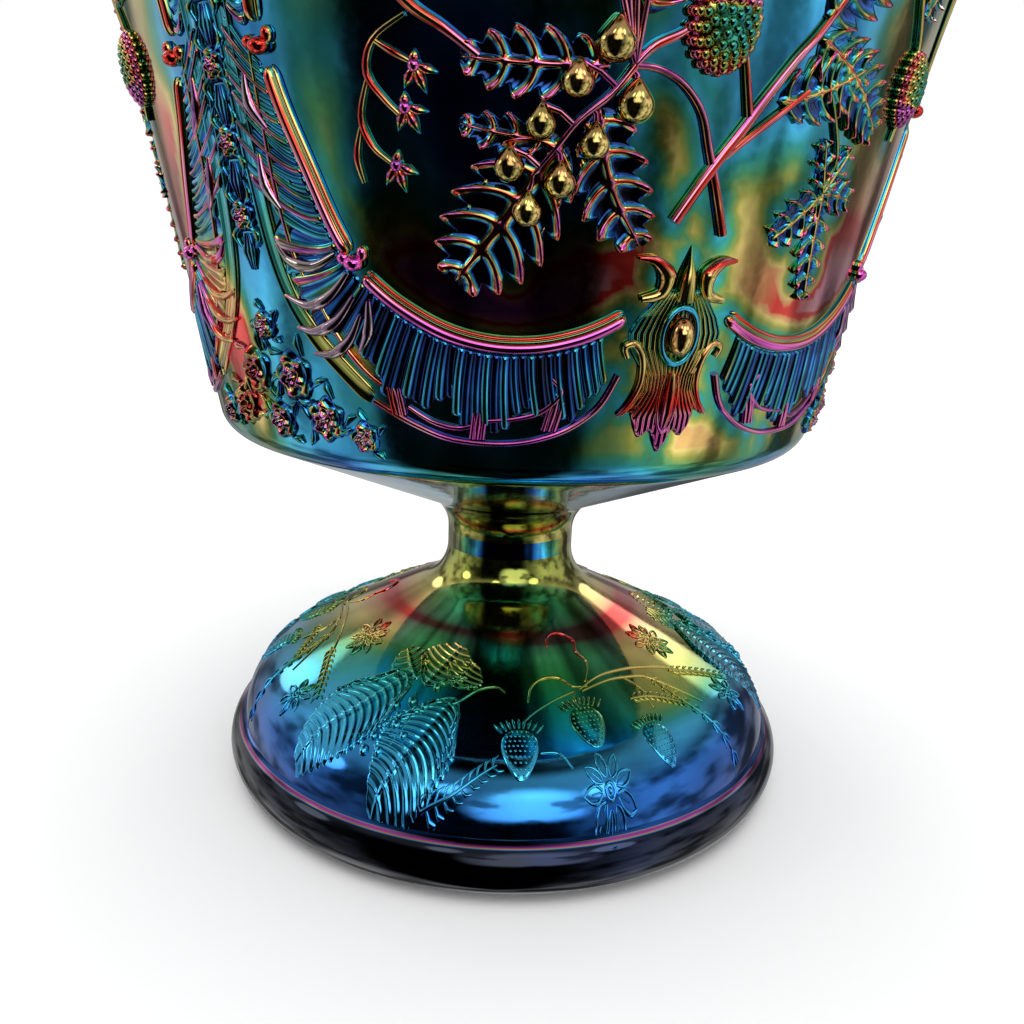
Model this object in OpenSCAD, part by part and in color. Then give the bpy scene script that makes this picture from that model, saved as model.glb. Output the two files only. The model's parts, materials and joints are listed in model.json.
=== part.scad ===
// Footed bowl of pressed, iridescent glass.
// +Z is up, the foot ring stands on z = 0 and the bowl's axis is Z.
// The mould has three equal sides, so the relief repeats every third of a turn.
// Angles are measured from the front, which is -Y, and grow towards +X.

/* [Foot] */
// Outside diameter of the foot
foot_d = 115; // [95:1:140]
// Height of the foot's rounded edge
edge_h = 12; // [9:0.5:15]
// Width of the flat ring that the foot stands on
ring_w = 4; // [2:0.5:6]
// Thickness of the foot's dome
dome_t = 5.5; // [4:0.5:8]
// Slope of the dome, in degrees from level
dome_slope = 26.5; // [22:0.5:31]

/* [Stem] */
// Diameter of the stem's waist
waist_d = 25.6; // [20:0.1:32]
// Height of the straight waist
waist_h = 3.4; // [2:0.1:14]
// Radius of the hollow curve where the stem runs into the dome
root_r = 9; // [6:0.5:14]
// Radius of the hollow curve of the wafer that joins stem and bowl
wafer_curve = 8; // [5:0.5:12]

/* [Bowl] */
// Diameter of the bowl at its lower edge
base_d = 111.4; // [95:0.1:135]
// Outside diameter of the bowl at its rim
rim_d = 160; // [130:1:192]
// How much of the rim's radius comes from the flare of the upper wall
flare = 4; // [0:0.5:8]
// Height above the lower edge where the upper wall starts to flare
flare_from = 56; // [40:1:70]
// Height of the bowl from its lower edge to its rim
bowl_h = 106; // [85:1:130]
// Thickness of the bowl's wall
wall_t = 5; // [3.5:0.1:6.5]
// Thickness of the bowl's floor
floor_t = 6; // [4.5:0.5:9]
// Slope of the bowl's underside, in degrees from level
under_slope = 22.5; // [18:0.5:27]
// Rounding of the bowl's lower edge
corner_r = 5; // [3:0.5:8]
// Width of the plain band under the rim
band_h = 9; // [7:0.5:16]

/* [Relief] */
// Height of the relief on the bowl
relief = 1.5; // [0.8:0.1:2.4]
// Height of the relief on the foot
foot_relief = 0.9; // [0.5:0.1:1.4]
// Angle from the front to the first panel's axis
first_panel = 21.5; // [-60:0.5:60]
// Width of the frame's rail
rail_w = 3.4; // [2.4:0.1:4.4]
// Width of the lower scroll
scroll_w = 1.8; // [1.2:0.1:2.4]
// Width of one barb in the feather band
barb_w = 1.3; // [0.8:0.1:1.8]
// Diameter of a berry in the spray
berry_d = 3.4; // [2.4:0.1:4.2]

/* [Hidden] */
$fn = 96;

sides = 3;
side_turn = 360 / sides;
arc_steps = 10;          // straight steps in one rounded corner
overlap = 1;             // how far a cutter runs past what it cuts
land = 0.3;              // bare wall left between two neighbouring ornaments

// Foot and stem, as radius and height
foot_r = foot_d / 2;
edge_r = edge_h / 2;
edge_c = [foot_r - edge_r, edge_r];
waist_r = waist_d / 2;
shoulder_r = 15;         // rounding between the foot's edge and its dome
shoulder_a = 83;         // steepness of the dome where it leaves the edge
dome_start = edge_c + edge_r * [cos(60), sin(60)];
shoulder_c = dome_start - shoulder_r * [sin(shoulder_a), cos(shoulder_a)];
dome_top = shoulder_c + shoulder_r * [sin(dome_slope), cos(dome_slope)];
root_c_x = waist_r + root_r;
root_x = root_c_x - root_r * sin(dome_slope);
root_z = dome_top[1] + (dome_top[0] - root_x) * tan(dome_slope);
root_c = [root_c_x, root_z + root_r * cos(dome_slope)];
stem_z = root_c[1];
wafer_z = stem_z + waist_h;
wafer_r = waist_r + wafer_curve * (1 - sin(under_slope));
under_z = wafer_z + wafer_curve * cos(under_slope);
hollow_r = foot_r - edge_r - ring_w;
hollow_top = 14;         // radius at which the hollow under the foot rounds off

// Bowl, as radius and height
base_r = base_d / 2;
lip_t = wall_t * 0.62;
edge_z = under_z + (base_r - wafer_r) * tan(under_slope);
rim_z = edge_z + bowl_h;
rim_r = rim_d / 2;
lean = (rim_r - flare - base_r) / bowl_h;
wall_a = atan(lean);
flare_steps = 5;
flare_z = edge_z + flare_from;
panel_h = bowl_h - band_h;
panel_unit = panel_h / 97;   // the ornaments are drawn on a panel 97 high

// The wall is a plain cone below and flares in a few steps above
flare_h = rim_z - flare_z;
wall_line = concat([[edge_z, base_r]], [for (i = [0:flare_steps]) let (up = flare_h * i / flare_steps)
    [flare_z + up, base_r + lean * (flare_from + up) + flare * pow(up / flare_h, 2)]]);
function wall_r(z) = lookup(z, wall_line);
function arc(c, r, a, b, n = arc_steps) =
    [for (i = [0:n]) c + r * [cos(a + (b - a) * i / n), sin(a + (b - a) * i / n)]];
// The rounded corner where two straight lines meet at a point, of directions u and v away from it
function corner(p, u, v, r, n = arc_steps) =
    let (half = acos(u * v) / 2, reach = r / tan(half), mid = (u + v) / norm(u + v),
         c = p + mid * r / sin(half), a = atan2((p + u * reach - c)[1], (p + u * reach - c)[0]),
         b = atan2((p + v * reach - c)[1], (p + v * reach - c)[0]),
         turn = b - a > 180 ? b - a - 360 : b - a < -180 ? b - a + 360 : b - a)
    arc(c, r, a, a + turn, n);

// A smooth curve through a few chosen points
function curve_at(p, i, t) =
    let (a = p[max(i - 1, 0)], b = p[i], c = p[i + 1], d = p[min(i + 2, len(p) - 1)])
    0.5 * (2 * b + (c - a) * t + (2 * a - 5 * b + 4 * c - d) * t * t
        + (3 * b - a - 3 * c + d) * t * t * t);
function curve(p, n = 4) =
    [for (i = [0:len(p) - 2]) for (k = [0:n - 1]) curve_at(p, i, k / n), p[len(p) - 1]];
function side_point(p, i, w) =
    let (d = p[min(i + 1, len(p) - 1)] - p[max(i - 1, 0)]) p[i] + w * [-d[1], d[0]] / norm(d);
function ribbon(p, w) = concat(
    [for (i = [0:len(p) - 1]) side_point(p, i, w / 2)],
    [for (i = [len(p) - 1:-1:0]) side_point(p, i, -w / 2)]);

// A place on the wall is given in degrees from the panel's axis and in panel units of height.
// seen() is that place as it looks square on from angle a.
function height(y) = edge_z + y * panel_unit;
function seen(q, a) = [wall_r(height(q[1])) * sin(q[0] - a), height(q[1])];
function seen_all(p, a) = [for (q = p) seen(q, a)];

// Frame of one panel, right half: two lobes meet at the palmette and the sides close in an arch
rail_lobe = [[7.5, 25], [10.5, 22.2], [16, 20], [23, 19.6], [30, 21.2], [37, 24.8], [42, 29]];
rail_side = [[42, 29], [44.5, 34.5], [47.5, 42.5], [50.4, 51], [51.8, 60], [50.6, 69], [46, 78]];
rail_arch = [[46, 78], [37.5, 85.6], [25, 90.4], [12.5, 92.6], [0, 93.2]];
scroll_lobe = [[7.5, 14.6], [12, 11.2], [17.8, 8.6], [24, 6.9], [31, 6.9], [37, 8.2], [42, 10.8]];
scroll_side = [[42, 10.8], [47, 15.5], [51, 19.6], [54.2, 25], [55.8, 32], [56.6, 42], [57, 54],
    [57, 66], [56, 78]];

module on_side(k) {
    rotate([0, 0, first_panel + side_turn * (k - 1)]) children();
}

module wall_skin() {
    lo = edge_z + corner_r;
    hi = rim_z - band_h + overlap;
    heights = concat([lo], [for (q = wall_line) if (q[0] > lo && q[0] < hi) q[0]], [hi]);
    rotate_extrude() polygon(concat([for (z = heights) [wall_r(z) + relief, z]],
        [for (i = [len(heights) - 1:-1:0]) [wall_r(heights[i]), heights[i]]]));
}

// A flat outline pressed onto the wall at angle a from the panel's axis
module on_wall(a) {
    intersection() {
        rotate([0, 0, a]) rotate([90, 0, 0]) linear_extrude(rim_d) children();
        wall_skin();
    }
}

module both_halves() {
    children();
    mirror([1, 0, 0]) children();
}

module leaf(size, teeth, lean_a = 0) {
    half = [for (i = [0:2 * teeth]) let (t = i / (2 * teeth), tooth = i % 2 == 0 ? 0.82 : 1.08)
        [size * t, 0.3 * size * sin(180 * pow(t, 0.75)) * tooth]];
    rotate(lean_a) polygon(concat(half, [for (i = [2 * teeth - 1:-1:1]) [half[i][0], -half[i][1]]]));
}

module flower(r, petals) {
    circle(r * 0.36);
    for (i = [0:petals - 1]) rotate(i * 360 / petals) translate([r * 0.62, 0])
        polygon([for (a = [0:60:300]) [0.4 * r * cos(a), 0.2 * r * sin(a)]]);
}

module berry(size) {
    polygon([for (a = [0:20:340]) size / 2 * [0.78 * cos(a) * (1 - 0.22 * sin(a)), sin(a)]]);
}

// --- The plain body ---

dome_outline = concat(arc(edge_c, edge_r, -90, 60), arc(shoulder_c, shoulder_r,
    90 - shoulder_a, 90 - dome_slope), arc(root_c, root_r, 270 - dome_slope, 180));

module foot() {
    under = [[hollow_r, 0], [hollow_r - edge_h * 0.3, edge_h * 0.62],
        [hollow_top, root_z - dome_t / cos(dome_slope) + (root_x - hollow_top) * tan(dome_slope)]];
    color("midnightblue") rotate_extrude()
        polygon(concat([for (i = [1:2]) under[i]], [[0, under[2][1] + 1.5], [0, stem_z]],
            [for (i = [len(dome_outline) - 1:-1:0]) dome_outline[i]], [under[0]]));
}

module stem() {
    color("olivedrab") translate([0, 0, stem_z]) cylinder(h = waist_h, r = waist_r);
}

module wafer() {
    color("darkslategray") rotate_extrude()
        polygon(concat([[0, under_z], [0, wafer_z]],
            arc([waist_r + wafer_curve, wafer_z], wafer_curve, 180, 90 + under_slope)));
}

module bowl() {
    down = -[cos(under_slope), sin(under_slope)];
    up = [sin(wall_a), cos(wall_a)];
    inner_r = wall_r(edge_z) - wall_t / cos(wall_a);
    floor_z = edge_z + floor_t;
    inner_edge = [inner_r + lean * floor_t, floor_z];
    centre_z = under_z + floor_t;
    floor_dir = ([wafer_r, centre_z] - inner_edge) / norm([wafer_r, centre_z] - inner_edge);
    lip_c = [wall_r(rim_z) - lip_t, rim_z - lip_t];
    flared = [for (q = wall_line) if (q[0] >= flare_z && q[0] < lip_c[1]) [q[1], q[0]]];
    outer = concat([[0, under_z], [wafer_r, under_z]],
        corner([base_r, edge_z], down, up, corner_r), flared, arc(lip_c, lip_t, 0, 180));
    inner_flare = [for (i = [len(flared) - 1:-1:0]) flared[i] - [wall_t / cos(wall_a), 0]];
    inner = concat(inner_flare, corner(inner_edge, up, floor_dir, corner_r * 1.6),
        [[wafer_r, centre_z], [0, centre_z]]);
    color("teal") rotate_extrude() polygon(concat(outer, inner));
}

// --- Relief on the bowl ---

module frame_rail(k) {
    color("mediumorchid") on_side(k) both_halves() {
        on_wall(24) polygon(ribbon(curve(seen_all(rail_lobe, 24)), rail_w));
        on_wall(48) polygon(ribbon(curve(seen_all(rail_side, 48)), rail_w));
        on_wall(24) polygon(ribbon(curve(seen_all(rail_arch, 24)), rail_w));
    }
}

module lower_scroll(k) {
    color("darkcyan") on_side(k) both_halves() {
        on_wall(24) polygon(ribbon(curve(seen_all(scroll_lobe, 24)), scroll_w));
        on_wall(50) polygon(ribbon(curve(seen_all(scroll_side, 50)), scroll_w));
    }
}

// One row of slanting barbs between an upper and a lower line
module barbs(upper, lower, n, slant) {
    top = curve(upper);
    low = curve(lower);
    for (i = [1:n - 1]) {
        a = top[round((len(top) - 1) * min(1, (i + slant) / n))];
        b = low[round((len(low) - 1) * i / n)];
        d = (b - a) / norm(b - a);
        p = a + d * (rail_w / 2 + land);
        q = b - d * (scroll_w / 2 + land);
        polygon(ribbon([p, (p + q) / 2, q], barb_w));
    }
}

module feather_band(k) {
    color("darkslateblue") on_side(k) both_halves() {
        on_wall(24) barbs(seen_all(rail_lobe, 24), seen_all(scroll_lobe, 24), 13, 1);
        on_wall(50) barbs(seen_all(rail_side, 50), seen_all(scroll_side, 50), 17, 1);
    }
}

module palmette(k) {
    color("goldenrod") on_side(k) on_wall(0) {
        translate(seen([0, 22.2], 0)) polygon([for (a = [0:15:345]) [2.4 * cos(a), 3.8 * sin(a)]]);
        // fan body that spreads into five points
        polygon([for (q = [[-2.2, 18], [-3, 14.5], [-5.8, 11.2], [-3.6, 11.6], [-2.9, 8.6], [-1.4, 9.4],
            [0, 5.2], [1.4, 9.4], [2.9, 8.6], [3.6, 11.6], [5.8, 11.2], [3, 14.5], [2.2, 18]]) seen(q, 0)]);
        // spike and two curls above the oval
        polygon([for (q = [[-1.2, 26.4], [-3.2, 28], [-5, 27], [-4.6, 30], [-2.6, 30.6], [-1, 29],
            [0, 33], [1, 29], [2.6, 30.6], [4.6, 30], [5, 27], [3.2, 28], [1.2, 26.4]]) seen(q, 0)]);
    }
}

module berry_spray(k) {
    berries = [[-12.8, 56.7], [-16.1, 52.4], [-19.8, 47.7], [-9.5, 50.8], [-13.9, 46.3], [-22.7, 43],
        [-17.3, 41.2], [-20.7, 37.5]];
    leaves = [[-15.5, 60.5, 178, 14], [-25, 41.5, 226, 14], [-11.5, 44.5, 280, 11], [-8, 62, 95, 13]];
    color("olive") on_side(k) on_wall(-17) {
        for (q = berries) translate(seen(q, -17)) circle(berry_d / 2);
        for (q = leaves) translate(seen(q, -17)) leaf(q[3], 6, q[2]);
    }
}

module bud_sprig(k) {
    stem_line = [[-33, 62], [-36.5, 55], [-38, 48], [-38.2, 41], [-36.8, 36]];
    buds = [[-33.5, 54.5], [-34.6, 48], [-34.6, 40.6]];
    color("seagreen") on_side(k) on_wall(-36) {
        polygon(ribbon(curve(seen_all(stem_line, -36)), barb_w));
        for (q = buds) translate(seen(q, -36)) circle(berry_d * 0.42);
    }
}

module vine_leaves(k) {
    leaves = [[13.5, 43.5, 300, 14], [22, 60, 245, 13], [9, 57, 60, 12], [33, 62, 75, 12]];
    branches = [[[-3.4, 35], [-0.5, 41], [3.4, 51]], [[4.4, 36], [1, 41], [-1.6, 46]],
        [[27, 50], [25, 44], [22, 38]]];
    fruit = [[-1.2, 57.7], [33, 54.6]];
    color("darkolivegreen") on_side(k) on_wall(14) {
        for (q = leaves) translate(seen(q, 14)) leaf(q[3], 6, q[2]);
        for (p = branches) polygon(ribbon(curve(seen_all(p, 14)), barb_w));
        for (q = fruit) translate(seen(q, 14)) circle(berry_d);
    }
}

module stile_chain(k) {
    color("lightslategray") on_side(k) on_wall(side_turn / 2) {
        for (y = [37, 46, 55, 64, 73]) translate(seen([side_turn / 2, y], side_turn / 2)) flower(2.5, 5);
        for (q = [[60, 20], [56, 11], [64, 11], [49.2, 8.4], [70.8, 8.4]])
            translate(seen(q, side_turn / 2)) flower(3, 6);
    }
}

// --- Relief on the foot ---

module dome_skin() {
    low = arc(shoulder_c, shoulder_r, 90 - shoulder_a + 14, 90 - dome_slope);
    high = arc(shoulder_c, shoulder_r + foot_relief, 90 - shoulder_a + 14, 90 - dome_slope);
    rise = foot_relief * [sin(dome_slope), cos(dome_slope)];
    end = [root_x, root_z];
    rotate_extrude() polygon(concat(low, [end, end + rise], [for (i = [arc_steps:-1:0]) high[i]]));
}

// A flat outline pressed onto the dome from above
module on_dome(k) {
    intersection() {
        on_side(k) linear_extrude(stem_z) children();
        dome_skin();
    }
}

// A place on the dome: degrees from the panel's axis and a share of the way from stem to edge
module dome_at(a, share) {
    rotate(a - 90) translate([root_x + (dome_start[0] - root_x) * share, 0]) children();
}

module foot_leaf(k) {
    color("steelblue") on_dome(k) dome_at(-42, 0.36)
        for (a = [-62, -30, 0, 32, 64]) leaf(a == 0 ? 20 : 15, 6, a);
}

module foot_fruit(k) {
    color("darkturquoise") on_dome(k) for (q = [[-18, 0.72], [-1, 0.6], [13.5, 0.74]])
        dome_at(q[0], q[1]) rotate(-90) berry(8.4);
}

module foot_flowers(k) {
    color("cornflowerblue") on_dome(k) {
        dome_at(-1, 0.86) flower(5.4, 9);
        dome_at(40, 0.22) flower(4, 6);
        dome_at(47, 0.66) flower(4, 6);
    }
}

foot();
stem();
wafer();
bowl();
frame_rail(1);  // frame_rail_1
frame_rail(2);  // frame_rail_2
frame_rail(3);  // frame_rail_3
lower_scroll(1);  // lower_scroll_1
lower_scroll(2);  // lower_scroll_2
lower_scroll(3);  // lower_scroll_3
feather_band(1);  // feather_band_1
feather_band(2);  // feather_band_2
feather_band(3);  // feather_band_3
palmette(1);  // palmette_1
palmette(2);  // palmette_2
palmette(3);  // palmette_3
berry_spray(1);  // berry_spray_1
berry_spray(2);  // berry_spray_2
berry_spray(3);  // berry_spray_3
bud_sprig(1);  // bud_sprig_1
bud_sprig(2);  // bud_sprig_2
bud_sprig(3);  // bud_sprig_3
vine_leaves(1);  // vine_leaves_1
vine_leaves(2);  // vine_leaves_2
vine_leaves(3);  // vine_leaves_3
stile_chain(1);  // stile_chain_1
stile_chain(2);  // stile_chain_2
stile_chain(3);  // stile_chain_3
foot_leaf(1);  // foot_leaf_1
foot_leaf(2);  // foot_leaf_2
foot_leaf(3);  // foot_leaf_3
foot_fruit(1);  // foot_fruit_1
foot_fruit(2);  // foot_fruit_2
foot_fruit(3);  // foot_fruit_3
foot_flowers(1);  // foot_flowers_1
foot_flowers(2);  // foot_flowers_2
foot_flowers(3);  // foot_flowers_3
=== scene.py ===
"""Footed bowl of pressed iridescent glass: its turned body, the relief of three sides, and the studio."""
import json
import math

import bpy
from mathutils import Matrix, Vector
from mathutils.kdtree import KDTree

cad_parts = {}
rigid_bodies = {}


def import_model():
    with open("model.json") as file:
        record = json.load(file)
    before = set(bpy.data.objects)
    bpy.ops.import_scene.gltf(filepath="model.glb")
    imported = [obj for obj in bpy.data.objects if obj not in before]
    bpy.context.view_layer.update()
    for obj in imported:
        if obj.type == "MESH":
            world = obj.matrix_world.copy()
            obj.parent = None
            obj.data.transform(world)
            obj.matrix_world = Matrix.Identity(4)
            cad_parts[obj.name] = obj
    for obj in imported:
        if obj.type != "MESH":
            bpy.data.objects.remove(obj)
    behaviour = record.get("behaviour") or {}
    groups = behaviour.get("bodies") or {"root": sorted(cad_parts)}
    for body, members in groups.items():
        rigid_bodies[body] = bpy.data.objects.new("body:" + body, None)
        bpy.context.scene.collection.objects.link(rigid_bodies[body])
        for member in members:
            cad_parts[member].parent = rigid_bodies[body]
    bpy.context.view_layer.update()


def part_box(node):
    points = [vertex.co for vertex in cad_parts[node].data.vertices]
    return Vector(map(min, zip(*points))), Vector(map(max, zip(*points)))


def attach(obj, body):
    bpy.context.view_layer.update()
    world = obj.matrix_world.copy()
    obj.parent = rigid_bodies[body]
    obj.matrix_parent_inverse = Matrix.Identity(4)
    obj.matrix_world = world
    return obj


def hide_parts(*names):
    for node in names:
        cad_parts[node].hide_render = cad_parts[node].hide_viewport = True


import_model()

# ---------------------------------------------------------------- sizes, in metres
MM = 0.001
foot_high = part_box("foot")[1]
bowl_low, bowl_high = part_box("bowl")
FOOT_R = foot_high.x
STEM_Z = foot_high.z
UNDER_Z = bowl_low.z
RIM_Z = bowl_high.z
RIM_R = bowl_high.x

EDGE_R = 6 * MM                       # rounding of the foot's edge
SHOULDER_R = 15 * MM                  # rounding between the foot's edge and its dome
SHOULDER_A = math.radians(83)
DOME_A = math.radians(26.5)
WAIST_R = 12.8 * MM
ROOT_R = 9 * MM
WAFER_R = 8 * MM
UNDER_A = math.radians(22.5)
BASE_R = 55.7 * MM
WALL_T = 5 * MM
CORNER_R = 5 * MM
FLOOR_T = 6 * MM
LIP_R = 3.1 * MM
FLARE = 4 * MM
FLARE_FROM = 56 * MM

WAFER_TOP_R = WAIST_R + WAFER_R * (1 - math.sin(UNDER_A))
EDGE_Z = UNDER_Z + (BASE_R - WAFER_TOP_R) * math.tan(UNDER_A)
BOWL_H = RIM_Z - EDGE_Z
LEAN = (RIM_R - FLARE - BASE_R) / BOWL_H

SIDES = 3
SIDE_TURN = math.radians(120)
FIRST_PANEL = math.radians(21.5)
DRAW_R = 63 * MM                      # radius at which the relief is drawn flat
DEG = math.radians(1) * DRAW_R        # width of one degree of the wall on the flat drawing


def wall_r(z):
    """Radius of the bowl's outer wall at height z."""
    up = z - EDGE_Z
    flare = max(0.0, up - FLARE_FROM) / (BOWL_H - FLARE_FROM)
    return BASE_R + LEAN * up + FLARE * flare ** 2


def arc(centre, radius, start, end, steps):
    """Points of an arc in the radius-height plane; angles in degrees."""
    turn = [math.radians(start + (end - start) * i / steps) for i in range(steps + 1)]
    return [(centre[0] + radius * math.cos(a), centre[1] + radius * math.sin(a)) for a in turn]


EDGE_C = (FOOT_R - EDGE_R, EDGE_R)
EDGE_A = math.radians(60)             # how far round the edge's arc reaches on its upper side
DOME_FOOT = (EDGE_C[0] + EDGE_R * math.cos(EDGE_A), EDGE_R + EDGE_R * math.sin(EDGE_A))
SHOULDER_C = (DOME_FOOT[0] - SHOULDER_R * math.sin(SHOULDER_A),
              DOME_FOOT[1] - SHOULDER_R * math.cos(SHOULDER_A))
DOME_TOP = (SHOULDER_C[0] + SHOULDER_R * math.sin(DOME_A), SHOULDER_C[1] + SHOULDER_R * math.cos(DOME_A))
ROOT_X = WAIST_R + ROOT_R * (1 - math.sin(DOME_A))
ROOT_Z = DOME_TOP[1] + (DOME_TOP[0] - ROOT_X) * math.tan(DOME_A)


def dome_z(r):
    """Height of the foot's dome at radius r."""
    if r < ROOT_X:
        dx = WAIST_R + ROOT_R - max(r, WAIST_R)
        return STEM_Z - math.sqrt(max(ROOT_R ** 2 - dx ** 2, 0))
    if r < DOME_TOP[0]:
        return DOME_TOP[1] + (DOME_TOP[0] - r) * math.tan(DOME_A)
    dx = min(r - SHOULDER_C[0], SHOULDER_R)
    return SHOULDER_C[1] + math.sqrt(SHOULDER_R ** 2 - dx ** 2)


# ---------------------------------------------------------------- modelling helpers
def fresh():
    """Leave edit mode with nothing selected."""
    if bpy.context.object and bpy.context.object.mode != "OBJECT":
        bpy.ops.object.mode_set(mode="OBJECT")
    bpy.ops.object.select_all(action="DESELECT")


def pick(piece):
    fresh()
    piece.select_set(True)
    bpy.context.view_layer.objects.active = piece


def turned(name, outline, steps):
    """A turned body: one vertex is extruded along the outline and the line is spun about Z."""
    fresh()
    bpy.ops.mesh.primitive_plane_add(size=MM)
    piece = bpy.context.object
    piece.name = name
    bpy.ops.object.mode_set(mode="EDIT")
    bpy.ops.mesh.merge(type="CENTER")
    r, z = outline[0]
    bpy.ops.transform.translate(value=(r, 0, z))
    for (r0, z0), (r1, z1) in zip(outline, outline[1:]):
        bpy.ops.mesh.extrude_region_move(TRANSFORM_OT_translate={"value": (r1 - r0, 0, z1 - z0)})
    bpy.ops.mesh.select_all(action="SELECT")
    bpy.ops.mesh.spin(steps=steps, angle=2 * math.pi, center=(0, 0, 0), axis=(0, 0, 1))
    bpy.ops.mesh.select_all(action="SELECT")
    bpy.ops.mesh.remove_doubles(threshold=0.01 * MM)
    bpy.ops.mesh.normals_make_consistent(inside=False)
    bpy.ops.object.mode_set(mode="OBJECT")
    bpy.ops.object.shade_smooth_by_angle(angle=math.radians(35))
    return piece


def smooth_line(points, steps=6):
    """A smooth curve through a few chosen points."""
    line = []
    for i in range(len(points) - 1):
        a, b = Vector(points[max(i - 1, 0)]), Vector(points[i])
        c, d = Vector(points[i + 1]), Vector(points[min(i + 2, len(points) - 1)])
        for k in range(steps):
            t = k / steps
            line.append(0.5 * (2 * b + (c - a) * t + (2 * a - 5 * b + 4 * c - d) * t * t
                               + (3 * b - a - 3 * c + d) * t ** 3))
    line.append(Vector(points[-1]))
    return line


def along(line, share):
    """The point and the direction at a share of the way along a line."""
    lengths = [(q - p).length for p, q in zip(line, line[1:])]
    goal = max(0.0, min(1.0, share)) * sum(lengths)
    for i, step in enumerate(lengths):
        if goal <= step or i == len(lengths) - 1:
            way = (line[i + 1] - line[i]).normalized()
            return line[i] + way * min(goal, step), way
        goal -= step


def grid_piece(name, across, down, shape):
    """A grid with its points moved to shape(u, v) = (x, up, rise), then given a back so that it is closed."""
    fresh()
    bpy.ops.mesh.primitive_grid_add(x_subdivisions=across, y_subdivisions=down, size=2)
    piece = bpy.context.object
    piece.name = name
    for vertex in piece.data.vertices:
        x, up, rise = shape(vertex.co.x, vertex.co.y)
        vertex.co = (x, -rise, up)
    bpy.ops.object.mode_set(mode="EDIT")
    bpy.ops.mesh.select_all(action="SELECT")
    bpy.ops.mesh.normals_make_consistent(inside=False)
    bpy.ops.object.mode_set(mode="OBJECT")
    if sum(p.normal.y for p in piece.data.polygons) > 0:
        piece.data.flip_normals()
    bpy.ops.object.modifier_add(type="SOLIDIFY")
    piece.modifiers[-1].thickness = 0.5 * MM
    piece.modifiers[-1].offset = -1
    bpy.ops.object.modifier_apply(modifier=piece.modifiers[-1].name)
    bpy.ops.object.shade_smooth()
    return piece


def stroke(points, rise, first, middle, last):
    """A raised line: its points, their height over the ground (one for all, or one each), and its radii."""
    rises = rise if isinstance(rise, tuple) else (rise,) * len(points)
    return [(p[0], p[1], r * MM) for p, r in zip(points, rises)], first * MM, middle * MM, last * MM


def raised_lines(name, strokes, sides=1):
    """Round raised lines. A stroke is (points, radius at the start, in the middle, at the end)."""
    fresh()
    bpy.ops.curve.primitive_nurbs_path_add()
    piece = bpy.context.object
    piece.name = name
    drawing = piece.data
    drawing.splines.clear()
    drawing.dimensions = "3D"
    drawing.bevel_depth = 1.0
    drawing.bevel_resolution = sides
    drawing.use_fill_caps = True
    for points, first, middle, last in strokes:
        spline = drawing.splines.new("POLY")
        spline.points.add(len(points) - 1)
        for i, (x, up, rise) in enumerate(points):
            t = i / (len(points) - 1)
            width = first + (middle - first) * 2 * t if t < 0.5 else middle + (last - middle) * (2 * t - 1)
            spline.points[i].co = (x, -rise, up, 1)
            spline.points[i].radius = width
    bpy.ops.object.convert(target="MESH")
    bpy.ops.object.shade_smooth()
    return bpy.context.object


def bead(x, up, radius, tall=1.0, rise=0.75, detail=(16, 10)):
    """A round bead, sunk a little into the wall."""
    fresh()
    bpy.ops.mesh.primitive_uv_sphere_add(segments=detail[0], ring_count=detail[1], radius=radius,
                                         location=(x, -radius * rise * 0.35, up))
    piece = bpy.context.object
    bpy.ops.object.mode_set(mode="EDIT")
    bpy.ops.transform.resize(value=(1, rise, tall), center_override=(x, 0, up))
    bpy.ops.object.mode_set(mode="OBJECT")
    bpy.ops.object.transform_apply(location=True, rotation=True, scale=True)
    bpy.ops.object.shade_smooth()
    return piece


def scattered(dot, places):
    """Copies of one small shape, each with its own mesh; the first shape is taken away."""
    copies = []
    for place in places:
        copy = dot.copy()
        copy.data = dot.data.copy()
        copy.data.transform(Matrix.Translation(place))
        bpy.context.collection.objects.link(copy)
        copies.append(copy)
    bpy.data.objects.remove(dot)
    return copies


def joined(name, pieces):
    """One piece made of several."""
    fresh()
    for piece in pieces:
        piece.select_set(True)
    bpy.context.view_layer.objects.active = pieces[0]
    if len(pieces) > 1:
        bpy.ops.object.join()
    pieces[0].name = name
    pieces[0].data.name = name
    return pieces[0]


def press_on_wall(piece):
    """Wrap a flat drawing (x along the wall, z up from the lower edge, -y out) onto the bowl's wall."""
    tilt = math.atan(LEAN)
    for vertex in piece.data.vertices:
        x, out, up = vertex.co.x, -vertex.co.y, vertex.co.z
        turn = FIRST_PANEL + x / DRAW_R
        z = EDGE_Z + up
        r = wall_r(z) + out * math.cos(tilt)
        vertex.co = (r * math.sin(turn), -r * math.cos(turn), z - out * math.sin(tilt))
    return piece


def press_on_dome(piece):
    """Wrap a plan drawing (x, z as seen from above with the front at the bottom, -y up) onto the foot."""
    for vertex in piece.data.vertices:
        x, rise, y = vertex.co.x, -vertex.co.y, vertex.co.z
        r = math.hypot(x, y)
        slope = (dome_z(r + 0.1 * MM) - dome_z(r - 0.1 * MM)) / (0.2 * MM)
        lift = Vector((-slope, 1.0)).normalized() * rise
        r2 = r + lift[0]
        turn = math.atan2(x, -y) + FIRST_PANEL
        vertex.co = (r2 * math.sin(turn), -r2 * math.cos(turn), dome_z(r) + lift[1])
    return piece


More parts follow.
